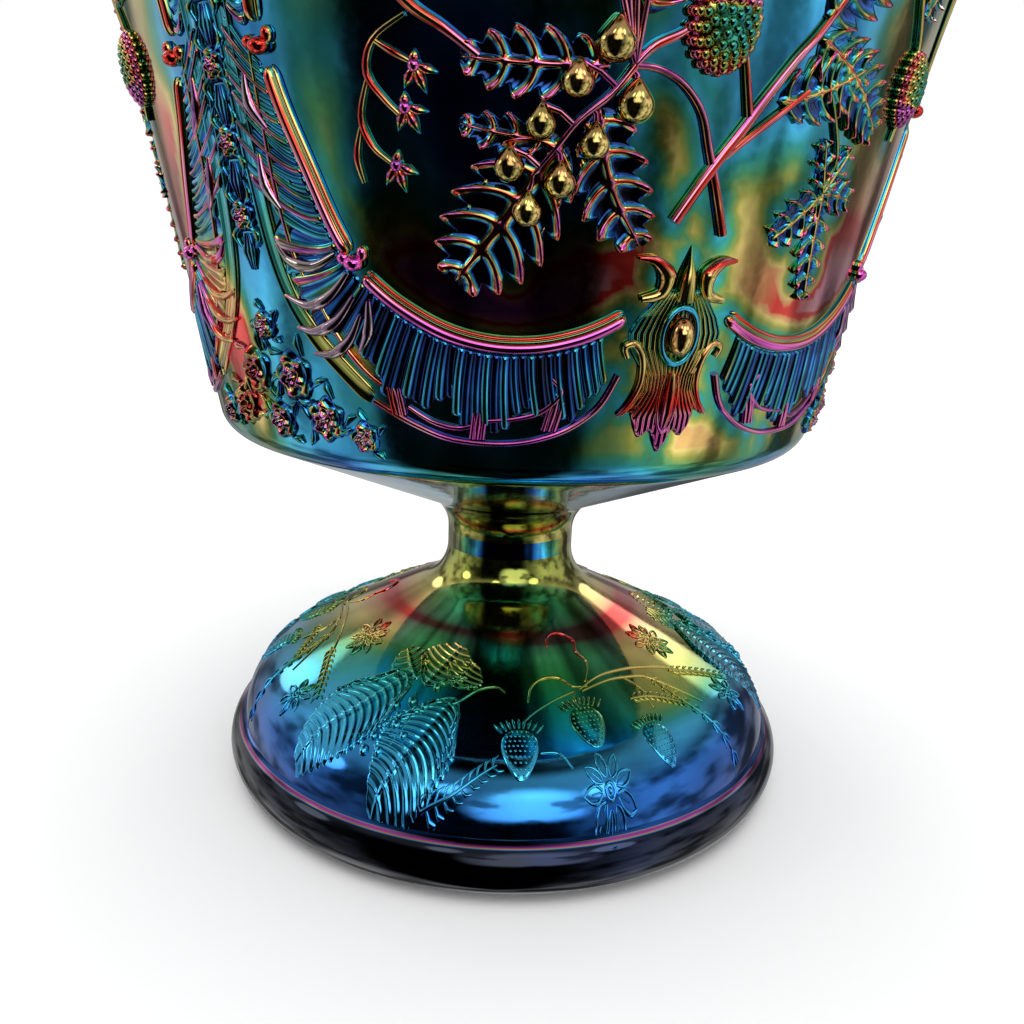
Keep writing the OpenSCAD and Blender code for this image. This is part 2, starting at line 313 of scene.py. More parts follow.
def on_every_side(piece, kind, material):
    """Set the finished piece on its three mould sides, each standing for that side's CAD node."""
    for k in range(SIDES):
        if k:
            pick(piece)
            bpy.ops.object.duplicate()
            copy = bpy.context.object
            copy.data.transform(Matrix.Rotation(SIDE_TURN * k, 4, "Z"))
        else:
            copy = piece
            copy.data.materials.clear()
            copy.data.materials.append(material)
        copy.name = f"{kind}_side{k + 1}"
        finish_piece(copy, kind, f"{kind}_{k + 1}")


def finish_piece(piece, slot, *nodes):
    """Say which body a piece rides with and what it stands for; the slot is not used."""
    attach(piece, "root")
    if nodes:
        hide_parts(*nodes)


# ---------------------------------------------------------------- lustre finishes
# The film's colours in the order of its thickness. A piece's own attribute of film share says where on it a
# point is; on most relief pieces and on the stem it also holds painted light: highlights, shade and
# reflections.
FILM = ((0.0, (0.012, 0.016, 0.03)), (0.06, (0.01, 0.05, 0.25)), (0.13, (0.015, 0.16, 0.6)),
        (0.21, (0.06, 0.5, 0.82)), (0.3, (0.03, 0.38, 0.36)), (0.4, (0.08, 0.36, 0.15)),
        (0.5, (0.36, 0.4, 0.07)), (0.6, (0.85, 0.66, 0.2)), (0.675, (0.8, 0.34, 0.14)),
        (0.705, (0.8, 0.04, 0.02)), (0.76, (0.75, 0.04, 0.03)), (0.8, (0.82, 0.34, 0.38)),
        (0.86, (0.86, 0.12, 0.58)), (0.93, (0.38, 0.08, 0.5)), (1.0, (0.55, 0.47, 0.42)))
WALL_TILT = math.radians(-8)
DOME_TILT = math.radians(63.5)


def node_tools(tree):
    """Short ways to add nodes: any node, a number sum, a vector sum, and a range turned into another."""
    def link(value, socket):
        if isinstance(value, (int, float, tuple)):
            socket.default_value = value
        else:
            tree.links.new(value, socket)

    def add(kind, data_type=None, blend_type=None, **values):
        node = tree.nodes.new("ShaderNode" + kind)
        if data_type:
            node.data_type = data_type
        if blend_type:
            node.blend_type = blend_type
        for name, value in values.items():
            link(value, node.inputs[name])
        return node

    def maths(operation, *values):
        node = add("Math")
        node.operation = operation
        for value, socket in zip(values, node.inputs):
            link(value, socket)
        return node.outputs[0]

    def vectors(operation, *values):
        node = add("VectorMath")
        node.operation = operation
        for value, socket in zip(values, node.inputs):
            link(value, socket)
        return node.outputs["Value" if operation == "DOT_PRODUCT" else "Vector"]

    def between(value, low, high, start, end, curve="LINEAR"):
        node = add("MapRange")
        node.interpolation_type = curve
        link(value, node.inputs["Value"])
        for name, number in (("From Min", low), ("From Max", high), ("To Min", start), ("To Max", end)):
            link(number, node.inputs[name])
        return node.outputs["Result"]
    return add, maths, vectors, between


def set_stops(ramp, stops):
    """Fill a colour ramp with pairs of place and colour."""
    for i, (share, colour) in enumerate(stops):
        stop = ramp.elements[i] if i < 2 else ramp.elements.new(share)
        stop.position = share
        stop.color = (*colour, 1)


def lustre(name, tilt=WALL_TILT, spread=0.2, scale=60.0, edge=0.0, upward=0.0, rough=(0.05, 0.13),
           ripple=0.1, dusk=0.0):
    """Iridescent film on dark glass. Its colour follows the piece's stored film share, which on most relief
    pieces and on the stem also holds painted light, a cloudy drift (spread, scale), and how far the surface
    turns away from its ground (edge) and upwards (upward). Dusk is how dark its random cloudy patches of
    painted shade get, rough the range of its gloss, and ripple the waviness of the pressed glass."""
    material = bpy.data.materials.new(name)
    material.use_nodes = True
    nodes, links = material.node_tree.nodes, material.node_tree.links
    add, maths, vectors, between = node_tools(material.node_tree)
    shader = nodes["Principled BSDF"]
    shader.inputs["Metallic"].default_value = 1.0
    shader.inputs["Coat Weight"].default_value = 0.3
    shader.inputs["Coat Roughness"].default_value = 0.03
    shader.inputs["Coat IOR"].default_value = 1.5

    def noise(size, detail):
        return add("TexNoise", Vector=place, Scale=size, Detail=detail).outputs["Fac"]

    place = add("TexCoord").outputs["Object"]
    facing = add("NewGeometry").outputs["Normal"]
    outward = vectors("NORMALIZE", vectors("MULTIPLY", place, (1.0, 1.0, 0.0)))
    square = vectors("MULTIPLY_ADD", outward, (math.cos(tilt),) * 3, (0.0, 0.0, math.sin(tilt)))
    turned_away = maths("SUBTRACT", 1.0, vectors("DOT_PRODUCT", facing, square))
    up = vectors("DOT_PRODUCT", facing, (-math.sin(tilt) * 0.3, 0.0, 1.0))
    film_and_painted_light = add("Attribute")
    film_and_painted_light.attribute_name = "film_and_painted_light"
    drift = maths("MULTIPLY_ADD", noise(scale, 2.0), spread, -spread / 2)
    share = maths("ADD", film_and_painted_light.outputs["Fac"], drift)
    share = maths("MULTIPLY_ADD", turned_away, edge, share)
    share = maths("MULTIPLY_ADD", up, upward, share)
    ramp = add("ValToRGB", Fac=share)
    set_stops(ramp.color_ramp, FILM)
    # random cloudy patches of painted shade, darkened by up to the dusk amount
    shade = add("Mix", data_type="RGBA", blend_type="MULTIPLY")
    shade.inputs["Factor"].default_value = 1.0
    links.new(ramp.outputs["Color"], shade.inputs["A"])
    links.new(between(noise(scale * 2.2, 3.0), 0.35, 0.65, 1.0 - dusk, 1.0), shade.inputs["B"])
    links.new(shade.outputs["Result"], shader.inputs["Base Color"])
    # fine mottling of the gloss, and the slow ripples of pressed glass
    links.new(between(noise(900.0, 4.0), 0.3, 0.7, *rough), shader.inputs["Roughness"])
    bump = add("Bump", Strength=ripple, Distance=0.4 * MM, Height=noise(190.0, 2.0))
    links.new(bump.outputs["Normal"], shader.inputs["Normal"])
    return material


wall_film = lustre("wall_lustre", spread=0.16, scale=45, ripple=0.14, dusk=0.35)
foot_film = lustre("foot_lustre", DOME_TILT, spread=0.07, scale=24, rough=(0.05, 0.12), ripple=0.06,
                   dusk=0.45)
stem_film = lustre("stem_lustre", spread=0.34, scale=110, ripple=0.12, dusk=0.75)
rail_film = lustre("rail_lustre", spread=0.14, scale=70, ripple=0.06)
scroll_film = lustre("scroll_lustre", spread=0.25, scale=70, edge=0.2, dusk=0.4)
band_film = lustre("feather_lustre", spread=0.3, scale=110, edge=0.1, upward=0.1, dusk=0.55)
palmette_film = lustre("palmette_lustre", spread=0.12, scale=120, edge=0.1, upward=0.05, dusk=0.25)
leaf_film = lustre("leaf_lustre", spread=0.26, scale=150, edge=0.05, upward=0.05, dusk=0.5)
vine_film = lustre("vine_lustre", spread=0.3, scale=90, edge=0.2, upward=0.05, dusk=0.4)
stile_film = lustre("stile_lustre", spread=0.4, scale=130, edge=0.2, upward=0.1, dusk=0.6)
foot_relief_film = lustre("foot_relief_lustre", DOME_TILT, spread=0.08, scale=90, edge=0.05,
                          rough=(0.06, 0.14))


# ---------------------------------------------------------------- the relief's main lines, drawn flat
def at(degrees, up):
    """A place on the drawing: degrees from the panel's axis and millimetres above the bowl's lower edge."""
    return Vector((degrees * DEG, up * MM))


def spots(*places):
    """Places on the wall's flat drawing, from degrees and height in millimetres."""
    return [at(*p) for p in places]


def mirrored(points):
    return [Vector((-p[0], *p[1:])) for p in points]


RAIL_LOBE = spots((7.6, 24.8), (10.2, 23.2), (14, 21.6), (19, 20.5), (25, 20.5), (31, 22), (37, 25.3),
                  (41.4, 29))
RAIL_SIDE = spots((43, 31.4), (45, 35.6), (47.5, 42.5), (49.8, 49), (51.2, 54.5))
RAIL_ARCH = spots((52.2, 59), (51.6, 66), (48.4, 74.5), (42, 82), (33, 87.4), (22, 91), (11, 92.8),
                  (0, 93.2))
SCROLL_LOBE = spots((7.6, 16.4), (9.4, 12.4), (12, 9.8), (16, 7.6), (22, 6.2), (30, 6.4), (36, 8.4),
                    (41.6, 11.2))
SCROLL_SIDE = spots((41.6, 11.2), (46, 15.4), (50, 19.6), (53.4, 25), (55.4, 32), (56.4, 42), (57, 54),
                    (57, 66), (56, 78), (50, 87), (38, 93), (20, 98.6), (0, 100))
marks = []                            # places of the ornaments, for the halo of colour around them


def note(points):
    """Remember where an ornament stands, for the colour round it."""
    marks.extend((p[0], p[1]) for p in points)


def paint(piece, value):
    """Store the film's thickness at each point as the piece's own attribute; on most of the relief and on the
    stem the stored value is partly painted highlight, painted shade and painted reflection.
    """
    film_and_painted_light = piece.data.attributes.get("film_and_painted_light") or piece.data.attributes.new("film_and_painted_light", "FLOAT", "POINT")
    film_and_painted_light.data.foreach_set("value", [value(v.co) for v in piece.data.vertices])


def blend(value, *stops):
    """Straight-line blend through (value, result) stops."""
    for (a, x), (b, y) in zip(stops, stops[1:]):
        if value < b:
            return x + (y - x) * max(0.0, (value - a) / (b - a))
    return stops[-1][1]


def by_rise(co, *stops):
    """The film's colour by how far a point of a flat drawing stands out, in millimetres. On most of the relief
    this is painted light: a painted highlight on the raised tops and painted shade in the low parts.
    """
    return blend(-co.y / MM, *stops)


def ridge(distance, width):
    """A soft rise that is 1 at no distance and fades within the width."""
    return math.exp(-(distance / width) ** 2)


def moulding(name, line, section, fade):
    """A moulding along a line. Section is (distance to the left of the line, rise) across it."""
    line = list(line)
    count = len(line) - 1
    steps = len(section) - 1
    reach = [0.0]
    for p, q in zip(line, line[1:]):
        reach.append(reach[-1] + (q - p).length)

    def shape(u, v):
        i = round((u + 1) / 2 * count)
        side, rise = section[round((v + 1) / 2 * steps)]
        way = (line[min(i + 1, count)] - line[max(i - 1, 0)]).normalized()
        out = Vector((-way.y, way.x))
        end = min(reach[i], reach[-1] - reach[i]) / fade
        swell = math.sqrt(1 - (1 - end) ** 2) if end < 1 else 1.0
        x, up = line[i] + out * side * (0.3 + 0.7 * swell)
        return x, up, rise * swell - 0.3 * MM * (1 - swell)
    return grid_piece(name, count, steps, shape)


RAIL_SECTION = [(s * MM, r * MM) for s, r in (
    (-1.34, -0.3), (-1.3, 0.1), (-1.18, 0.5), (-0.95, 0.78), (-0.6, 0.92), (-0.2, 0.88), (0.1, 0.66),
    (0.28, 0.3), (0.42, 0.12), (0.56, 0.3), (0.72, 0.58), (0.92, 0.66), (1.1, 0.5), (1.2, 0.1), (1.22, -0.3))]

SCROLL_SECTION = [(s * MM, r * MM) for s, r in (
    (-1.5, -0.3), (-1.45, 0.2), (-1.2, 0.5), (-0.95, 0.4), (-0.7, 0.24), (0, 0.3), (0.7, 0.24), (0.95, 0.4),
    (1.2, 0.5), (1.45, 0.2), (1.5, -0.3))]


def frame_rail():
    """The moulded rail round the panel: a lobe below, a side and an arch on each half, with knots between."""
    parts = []
    for line, fade in ((RAIL_LOBE, 1.4 * MM), (RAIL_SIDE, 2 * MM), (RAIL_ARCH, 2 * MM)):
        drawn = smooth_line(line, 10)
        note(drawn[::4])
        note(mirrored(drawn[::4]))
        parts.append(moulding("rail", drawn, RAIL_SECTION, fade))
        parts.append(moulding("rail", mirrored(drawn), [(-s, r) for s, r in reversed(RAIL_SECTION)], fade))
    for spot in (at(42.4, 30.4), at(51.8, 56.6)):
        for flip in (1, -1):
            parts.append(bead(flip * spot.x, spot.y, 1.5 * MM, 0.75, 1.0))
            parts.append(bead(flip * (spot.x + 1.7 * MM), spot.y + 0.5 * MM, 1.0 * MM, 0.9, 0.9))
            parts.append(bead(flip * (spot.x - 1.3 * MM), spot.y + 1.2 * MM, 0.8 * MM, 1.3, 1.0))
    piece = joined("frame_rail", parts)

    def film_and_painted_light(co):
        share = blend(co.z / MM, (20, 0.87), (30, 0.86), (42, 0.82), (52, 0.76), (70, 0.66), (94, 0.74))
        return share - by_rise(co, (0.1, 0.7), (0.3, 0.3), (0.55, 0.14), (0.84, 0.0))
    paint(piece, film_and_painted_light)
    return press_on_wall(piece)


def hook(*places, thin=0.3, thick=0.8, end=0.3, rise=0.35):
    """A C-shaped stroke that swells in its middle."""
    return stroke(smooth_line(spots(*places), 6), rise, thin, thick, end)


def both_ways(strokes):
    return strokes + [([(-x, up, rise) for x, up, rise in points], a, b, c) for points, a, b, c in strokes]


def lower_scroll():
    """The band that closes each lobe below: a thin outer line, a broad side moulding, crescents and ties."""
    lobe, side = smooth_line(SCROLL_LOBE, 6), smooth_line(SCROLL_SIDE, 6)
    for line in (lobe, side):
        note(line[::4])
        note(mirrored(line[::4]))
    strokes = [stroke(lobe, 0.15, 0.55, 0.42, 0.5)]
    # crescents between the ties: each has a lower rim and a short upper one
    for rim in (
            ((16.6, 15.8), (15.2, 13.8), (17.6, 11.2), (21, 10), (25.4, 9.4)),
            ((26.6, 8.8), (29.4, 8.2), (33, 8.9), (36.4, 10.8)),
            ((39.4, 13.2), (42.4, 15.4), (45.8, 19.4), (48.4, 24.2)),
            ((50.2, 27), (52, 32.2), (53, 40), (53.4, 49), (53.6, 58))):
        strokes.append(hook(*rim, thin=0.3, thick=0.45, end=0.3, rise=0.2))
    # ties
    for a, b in (((26, 10.6), (26.4, 6.8)), ((38.2, 13.4), (37.6, 9.6)), ((15.4, 12.6), (16.4, 8.4))):
        for shift, thick in ((-0.55, 0.5), (0.35, 0.62), (1.1, 0.4)):
            tie = [(p.x + shift * MM, p.y) for p in smooth_line(spots(a, b), 4)]
            strokes.append(stroke(tie, 0.25, 0.3, thick, 0.45))
    # leafy curls where the lobe turns into the side
    for curl in (
            ((43.6, 29), (46.6, 25.8), (50.4, 24.2), (54.4, 25.4)),
            ((43, 26), (46, 22.4), (49.8, 20.6), (53, 21)),
            ((42.4, 23.4), (44.4, 19.8), (47.4, 17.6), (50.6, 17.4)),
            ((45, 31.4), (48.8, 29.6), (52.4, 30.2), (54.4, 32.4)),
            ((41, 25.4), (41.4, 21.2), (43.2, 18)),
            ((52.6, 37), (54.4, 40), (54.8, 44)),
            ((52.8, 47), (54.8, 50), (55, 54))):
        strokes.append(hook(*curl, thin=0.4, thick=1.0, end=0.25, rise=0.3))
    strokes = both_ways(strokes)
    parts = [raised_lines("scroll", strokes, 2)]
    broad = smooth_line(SCROLL_SIDE, 8)
    parts.append(moulding("scroll", broad, SCROLL_SECTION, 3 * MM))
    parts.append(moulding("scroll", mirrored(broad), SCROLL_SECTION, 3 * MM))
    piece = joined("lower_scroll", parts)

    def film_and_painted_light(co):
        deg = abs(co.x) / DEG
        share = blend(deg, (8, 0.8), (16, 0.82), (30, 0.84), (38, 0.78), (42, 0.56), (50, 0.5), (54, 0.3),
                      (58, 0.24))
        share -= by_rise(co, (0.05, 0.4), (0.18, 0.0))
        if deg > 40:                  # painted highlight: the curls' tops are painted paler than the moulding under them
            share += (0.96 - share) * by_rise(co, (0.5, 0.0), (0.6, 1.0))
        return share
    paint(piece, film_and_painted_light)
    return press_on_wall(piece)


def barbs(name, top, low, pitch, tufts, bow):
    """Barbs pressed side by side between two lines, rounded at their ends, in tufts."""
    count = len(top) - 1
    rows = 22
    reach = [0.0]
    for p, q in zip(top, top[1:]):
        reach.append(reach[-1] + (q - p).length)

    def shape(u, v):
        i = round((u + 1) / 2 * count)
        down = (1 - v) / 2
        way = (top[min(i + 1, count)] - top[max(i - 1, 0)]).normalized()
        step = low[i] - top[i]
        phase = reach[i] / pitch
        mid = math.floor(phase) + 0.5
        end = 0.56 + 0.26 * abs(math.sin(math.pi * mid / tufts)) + 0.07 * math.sin(mid * 1.7)
        slant = blend(top[i].y / MM, (19, -0.16), (27, 0.0), (38, bow))
        p = top[i] + step * down * (end + 0.05) + way * (slant * (down ** 1.5) * step.length)
        across = abs(phase - mid) * 2
        length = min(1.0, (1 - down) * 9)
        round_end = math.sqrt(max(0.0, 1 - (1 - length) ** 2))
        swell = 0.78 + 0.22 * math.sin(mid * 2.4)
        rise = 0.66 * swell * max(0.0, 1 - across ** 2.2) ** 0.8 * round_end * (0.7 + 0.3 * down)
        return p.x, p.y, (rise + 0.06 if down < 0.97 and down > 0.0 else -0.3) * MM
    return grid_piece(name, count, rows, shape)


def resample(line, count):
    return [along(line, i / count)[0] for i in range(count + 1)]


def feather_band():
    """Two bands of barbs: one from the lobe up the side, and one that follows the arch."""
    parts = []
    rail = smooth_line(RAIL_LOBE[1:] + RAIL_SIDE, 8)
    below, beside = Vector((0, -1.2 * MM)), Vector((1.2 * MM, 0))
    knot = 8 * len(RAIL_LOBE[1:])     # where the rail turns from the lobe into the side
    lower = [p + (below if i < knot else beside) for i, p in enumerate(rail)]
    scroll = smooth_line(SCROLL_LOBE[1:] + SCROLL_SIDE[1:7], 8)
    arch = smooth_line(RAIL_ARCH, 8)
    arch_low = [p + (p - Vector((0, 50 * MM))).normalized() * 1.3 * MM for p in arch]
    outer = smooth_line(SCROLL_SIDE[6:], 8)
    for top, low, pitch, samples in ((lower, scroll, 1.25 * MM, 500), (arch_low, outer, 1.5 * MM, 420)):
        top, low = resample(top, samples), resample(low, samples)
        for flip in (1, -1):
            a = [Vector((p.x * flip, p.y)) for p in top]
            b = [Vector((p.x * flip, p.y)) for p in low]
            parts.append(barbs("barbs", a, b, pitch, 9, 1.25 if top[0].y < 50 * MM else 0.8))
            note(a[::12])
            note([(p + q) / 2 for p, q in zip(a[::12], b[::12])])
    piece = joined("feather_band", parts)

    def film_and_painted_light(co):
        # painted light: the barbs' raised tops are painted lighter as a highlight and the grooves between them
        # near black as shade
        lobe = by_rise(co, (0.06, 0.0), (0.3, 0.06), (0.5, 0.2), (0.6, 0.3), (0.68, 0.42))
        side = by_rise(co, (0.06, 0.08), (0.2, 0.16), (0.4, 0.24), (0.5, 0.36), (0.54, 0.95), (0.68, 1.0))
        share = blend(co.z / MM, (25.5, 0.0), (28, 1.0))
        return lobe + (side - lobe) * share + blend(abs(co.x) / DEG, (8, 0.14), (15, 0.0))
    paint(piece, film_and_painted_light)
    return press_on_wall(piece)


def leaf(name, base, tip, width, lobes, bend=0.0, rise=1.0, across=84, down=26, lean=0.3, deep=0.4):
    """A deeply cut leaf: veins run forward from the midrib and end in rounded, raised teeth."""
    base, tip = Vector(base), Vector(tip)
    length = (tip - base).length
    way = (tip - base) / length
    out = Vector((-way.y, way.x))
    note([base + (tip - base) * k / 4 + out * width * side
          for k in range(1, 4) for side in (-0.35, 0, 0.35)])

    def shape(u, v):
        s = (u + 1) / 2
        t = abs(v)
        reach = s * lobes
        at_edge = math.sin(math.pi * reach) ** 2
        half = 0.5 * width * (math.sin(math.pi * min(1.0, 0.06 + 0.94 * s ** 0.8)) ** 0.55)
        half *= 1 - deep * (1 - at_edge ** 0.6) * (0.35 + 0.65 * t)
        forward = lean * t * t * half * 2
        centre = base + way * (s * length) + out * (bend * length * math.sin(math.pi * s))
        p = centre + out * (v * half) + way * min(forward, (1 - s) * length * 0.9)
        near_vein = abs((reach % 1.0) - 0.5)
        vein = ridge(near_vein, 0.17)
        tooth = ridge((1 - t) * 5, 1.5) * (0.35 + 0.65 * at_edge)
        height = 0.14 + 0.72 * ridge(t, 0.11) + 0.55 * vein * (1 - ridge(t, 0.12)) + 0.45 * tooth
        edge = min(1.0, (1 - t) * 9, s * 25, (1 - s) * 16)
        edge = math.sqrt(max(0.0, 1 - (1 - edge) ** 2))
        return p.x, p.y, (height * rise * edge - 0.3 * (1 - edge)) * MM
    return grid_piece(name, across, down, shape)


def berry(x, up, radius):
    """A round berry with a point where its stem enters."""
    piece = bead(x, up, radius, 1.0, 0.95, (20, 14))
    for vertex in piece.data.vertices:
        high = (vertex.co.z - up) / radius
        if high > 0:
            narrow = 1 - 0.5 * high ** 2
            vertex.co.x = x + (vertex.co.x - x) * narrow
            vertex.co.z = up + radius * (high + 0.34 * high ** 3)
    return piece


def stem(places, first=0.45, middle=0.45, last=0.45, rise=0.4):
    """A smooth raised stem through places in degrees and millimetres."""
    drawn = smooth_line(spots(*places), 5)
    note(drawn[::3])
    return stroke(drawn, rise, first, middle, last)


# berries: degrees, height and radius in millimetres
BERRIES = ((-12.5, 56.9, 2.3), (-16.1, 52.6, 2.0), (-9.8, 50.4, 2.3), (-19.7, 47.8, 1.9), (-13.8, 45.8, 1.95),
           (-23, 42.8, 1.95), (-17.3, 41.2, 2.0), (-20.8, 37.6, 2.0), (-15, 67, 2.0), (-9.4, 69.4, 1.9),
           (-12.6, 74, 1.9))


def berry_spray():
    """The spray left of the middle: leaves, berries on stalks and long stems."""
    parts = [
        leaf("leaf", at(-17, 46.5), at(-29.4, 28.4), 15.5 * MM, 6, 0.02),
        leaf("leaf", at(-13.6, 50), at(-7, 33.6), 10.5 * MM, 5, -0.08),
        leaf("leaf", at(-12.6, 54.4), at(-28.4, 54.8), 8.6 * MM, 5, 0.02),
        leaf("leaf", at(-18.4, 46), at(-28.6, 47.6), 5.2 * MM, 4, 0.03),
        leaf("leaf", at(-10, 60), at(-4.4, 76), 12 * MM, 6, 0.05),
        leaf("leaf", at(-13, 62), at(-24, 76), 12 * MM, 6, -0.04),
    ]
    main = spots((-10.2, 54.6), (-12.4, 51.4), (-15.6, 48.4), (-18, 45), (-20.4, 41.8))
    strokes = [stroke(smooth_line(main, 5), 0.55, 0.5, 0.42, 0.3)]
    fruit = []
    for deg, up, size in BERRIES:
        spot = at(deg, up)
        fruit.append(berry(spot.x, spot.y, size * MM))
        note([spot])
        root = min(smooth_line(main, 5), key=lambda p: (p - spot - Vector((0, 3 * MM))).length)
        middle = (root + spot) / 2 + Vector((0.2, 1.4)) * MM
        end = spot + Vector((0, size * 1.1 * MM))
        strokes.append(stroke((root, middle, end), (0.5, 0.6, 0.5), 0.38, 0.36, 0.45))
    strokes += [
        stem(((-10.2, 54.6), (-7.6, 54.4), (-4.6, 53), (-1.9, 50), (-0.3, 46), (1.3, 42), (3.8, 35.6)),
             0.45, 0.5, 0.7),
        stem(((-10.2, 54.6), (-8.4, 56.8), (-5.6, 58.4), (-3, 60.4)), 0.5, 0.62, 0.5),
        stem(((-26.4, 54.9), (-30, 57.8), (-33.6, 60.4), (-38, 66), (-40, 72)), 0.55, 0.8, 0.7),
        stem(((-10.2, 54.6), (-11.4, 60), (-12.2, 66), (-12.6, 72)), 0.45, 0.5, 0.4),
    ]
    foliage = joined("foliage", parts + [raised_lines("stems", strokes, 2)])
    # painted light: leaves and stems get a painted highlight in pink and tan on their raised tops and painted
    # shade low down; the berries are painted golder where they stand out most, as a highlight
    paint(foliage, lambda co: by_rise(co, (0.15, 0.01), (0.3, 0.08), (0.42, 0.2), (0.52, 0.3), (0.58, 0.6),
                                      (0.68, 0.76), (0.85, 0.88), (1.1, 0.66)))
    fruits = joined("fruits", fruit)
    paint(fruits, lambda co: by_rise(co, (0.2, 0.44), (0.9, 0.52), (1.8, 0.6)))
    return press_on_wall(joined("berry_spray", [foliage, fruits]))


def bud(spot, lean, strokes, parts, size=1.0):
    """A small bud: a ball between pointed sepals."""
    note([spot])
    parts.append(bead(spot.x, spot.y, 0.85 * size * MM, 1.0, 1.1, (14, 8)))
    for turn, length in ((-1.0, 2.9), (-0.1, 3.4), (0.8, 2.9), (2.6, 1.8)):
        way = Vector((math.sin(lean + turn), -math.cos(lean + turn)))
        mid, tip = spot + way * length * 0.5 * size * MM, spot + way * length * size * MM
        strokes.append(stroke((spot, mid, tip), (0.2, 0.45, 0.1), 0.35, 0.66 * size, 0.1))


def bud_sprig():
    """The sprig at the far left of the panel, with small open buds."""
    strokes, parts = [], []
    for line in (((-34, 59.2), (-37.6, 56.6), (-38.6, 53), (-36.5, 49.8), (-34.2, 47.6)),
                 ((-38.5, 52.6), (-39.7, 48.2), (-38.6, 44.8), (-36.4, 42.8)),
                 ((-39.8, 47), (-40.6, 43.6), (-40, 40.4)),
                 ((-37.6, 56.6), (-35.4, 55.2), (-33.6, 54.2))):
        strokes.append(stem(line, 0.3, 0.5, 0.3, 0.3))
    for spot, lean in ((at(-33.2, 53.8), 0.5), (at(-34.4, 49.2), 0.6), (at(-35.8, 42.6), 0.4)):
        bud(spot, lean, strokes, parts)
    parts.append(raised_lines("buds", strokes, 2))
    piece = joined("bud_sprig", parts)
    # painted light: raised tops get a painted highlight in pink, low parts painted shade near black
    paint(piece, lambda co: by_rise(co, (0.1, 0.05), (0.4, 0.22), (0.6, 0.62), (0.9, 0.84)))
    return press_on_wall(piece)


def raspberry(x, up, radius):
    """A fruit of many small round drupelets in rings, over a domed core."""
    parts = [bead(x, up, radius * 0.95, 1.25, 0.55, (20, 12))]
    rings = 6
    drops = []
    for ring in range(rings + 1):
        lean = math.radians(84) * ring / rings
        r = radius * math.sin(lean)
        count = max(1, round(2 * math.pi * r / (radius * 0.3)))
        for i in range(count):
            a = 2 * math.pi * (i + 0.5 * (ring % 2)) / count
            drops.append((x + r * math.cos(a), -radius * 0.52 * math.cos(lean), up + r * math.sin(a) * 1.25))
    parts += scattered(bead(0, 0, radius * 0.16, 1.0, 1.0, (6, 5)), drops)
    note([(x, up), (x + radius, up), (x - radius, up), (x, up + radius), (x, up - radius)])
    return parts


def vine_leaves():
    """The branches right of the middle, with their leaves and two raspberries."""
    parts = [
        leaf("leaf", at(19.4, 41.6), at(11.6, 35.2), 6.4 * MM, 4, 0.02),
        leaf("leaf", at(19.4, 42), at(21.8, 26.6), 6.6 * MM, 6, -0.02),
        leaf("leaf", at(19.6, 41.6), at(26.8, 41), 5.6 * MM, 3, 0.03),
        leaf("leaf", at(19.4, 41.6), at(17, 48.6), 4 * MM, 3, 0.0),
        leaf("leaf", at(19.4, 41.6), at(23.4, 48), 4 * MM, 3, 0.0),
        leaf("leaf", at(8, 52), at(22, 58), 9.5 * MM, 6, -0.04),
        leaf("leaf", at(12, 60), at(28, 50), 11 * MM, 7, 0.05),
        leaf("leaf", at(12, 62), at(25, 74), 12 * MM, 6, 0.04),
        leaf("leaf", at(3, 64), at(6, 80), 10 * MM, 6, 0.03),
        leaf("leaf", at(33, 66), at(40, 76), 9 * MM, 5, 0.03),
    ]
    strokes = [
        stem(((-3.2, 37), (0.2, 43.1), (3.4, 48.2), (5.5, 51.6), (9, 57), (12, 61), (16, 68)), 0.85, 0.7, 0.45),
        stem(((0.4, 43.6), (4, 47), (8, 50.4), (12, 53.8)), 0.45, 0.55, 0.5),
        stem(((4.4, 49.4), (3, 54), (1.6, 58.6)), 0.6, 0.5, 0.4),
        stem(((19.5, 42), (20.4, 46.4), (18, 51), (16, 54)), 0.3, 0.36, 0.3),
        stem(((35, 50), (36, 56), (34.6, 62), (30, 68)), 0.4, 0.5, 0.4),
    ]
    parts.append(raised_lines("branches", strokes, 2))
    for place, size in ((at(-1.2, 60), 4.3 * MM), (at(35.4, 57.2), 3.9 * MM)):
        parts += raspberry(place.x, place.y, size)
    piece = joined("vine_leaves", parts)
    # painted light: raised parts get a painted highlight and low parts painted shade
    paint(piece, lambda co: by_rise(co, (0.15, 0.06), (0.4, 0.16), (0.6, 0.3), (0.75, 0.62), (0.95, 0.84))
          if co.x > 8 * DEG and co.z < 55 * MM or co.z > 62 * MM
          else by_rise(co, (0.2, 0.14), (0.6, 0.3), (0.9, 0.84), (2.0, 0.5), (2.6, 0.34)))
    return press_on_wall(piece)


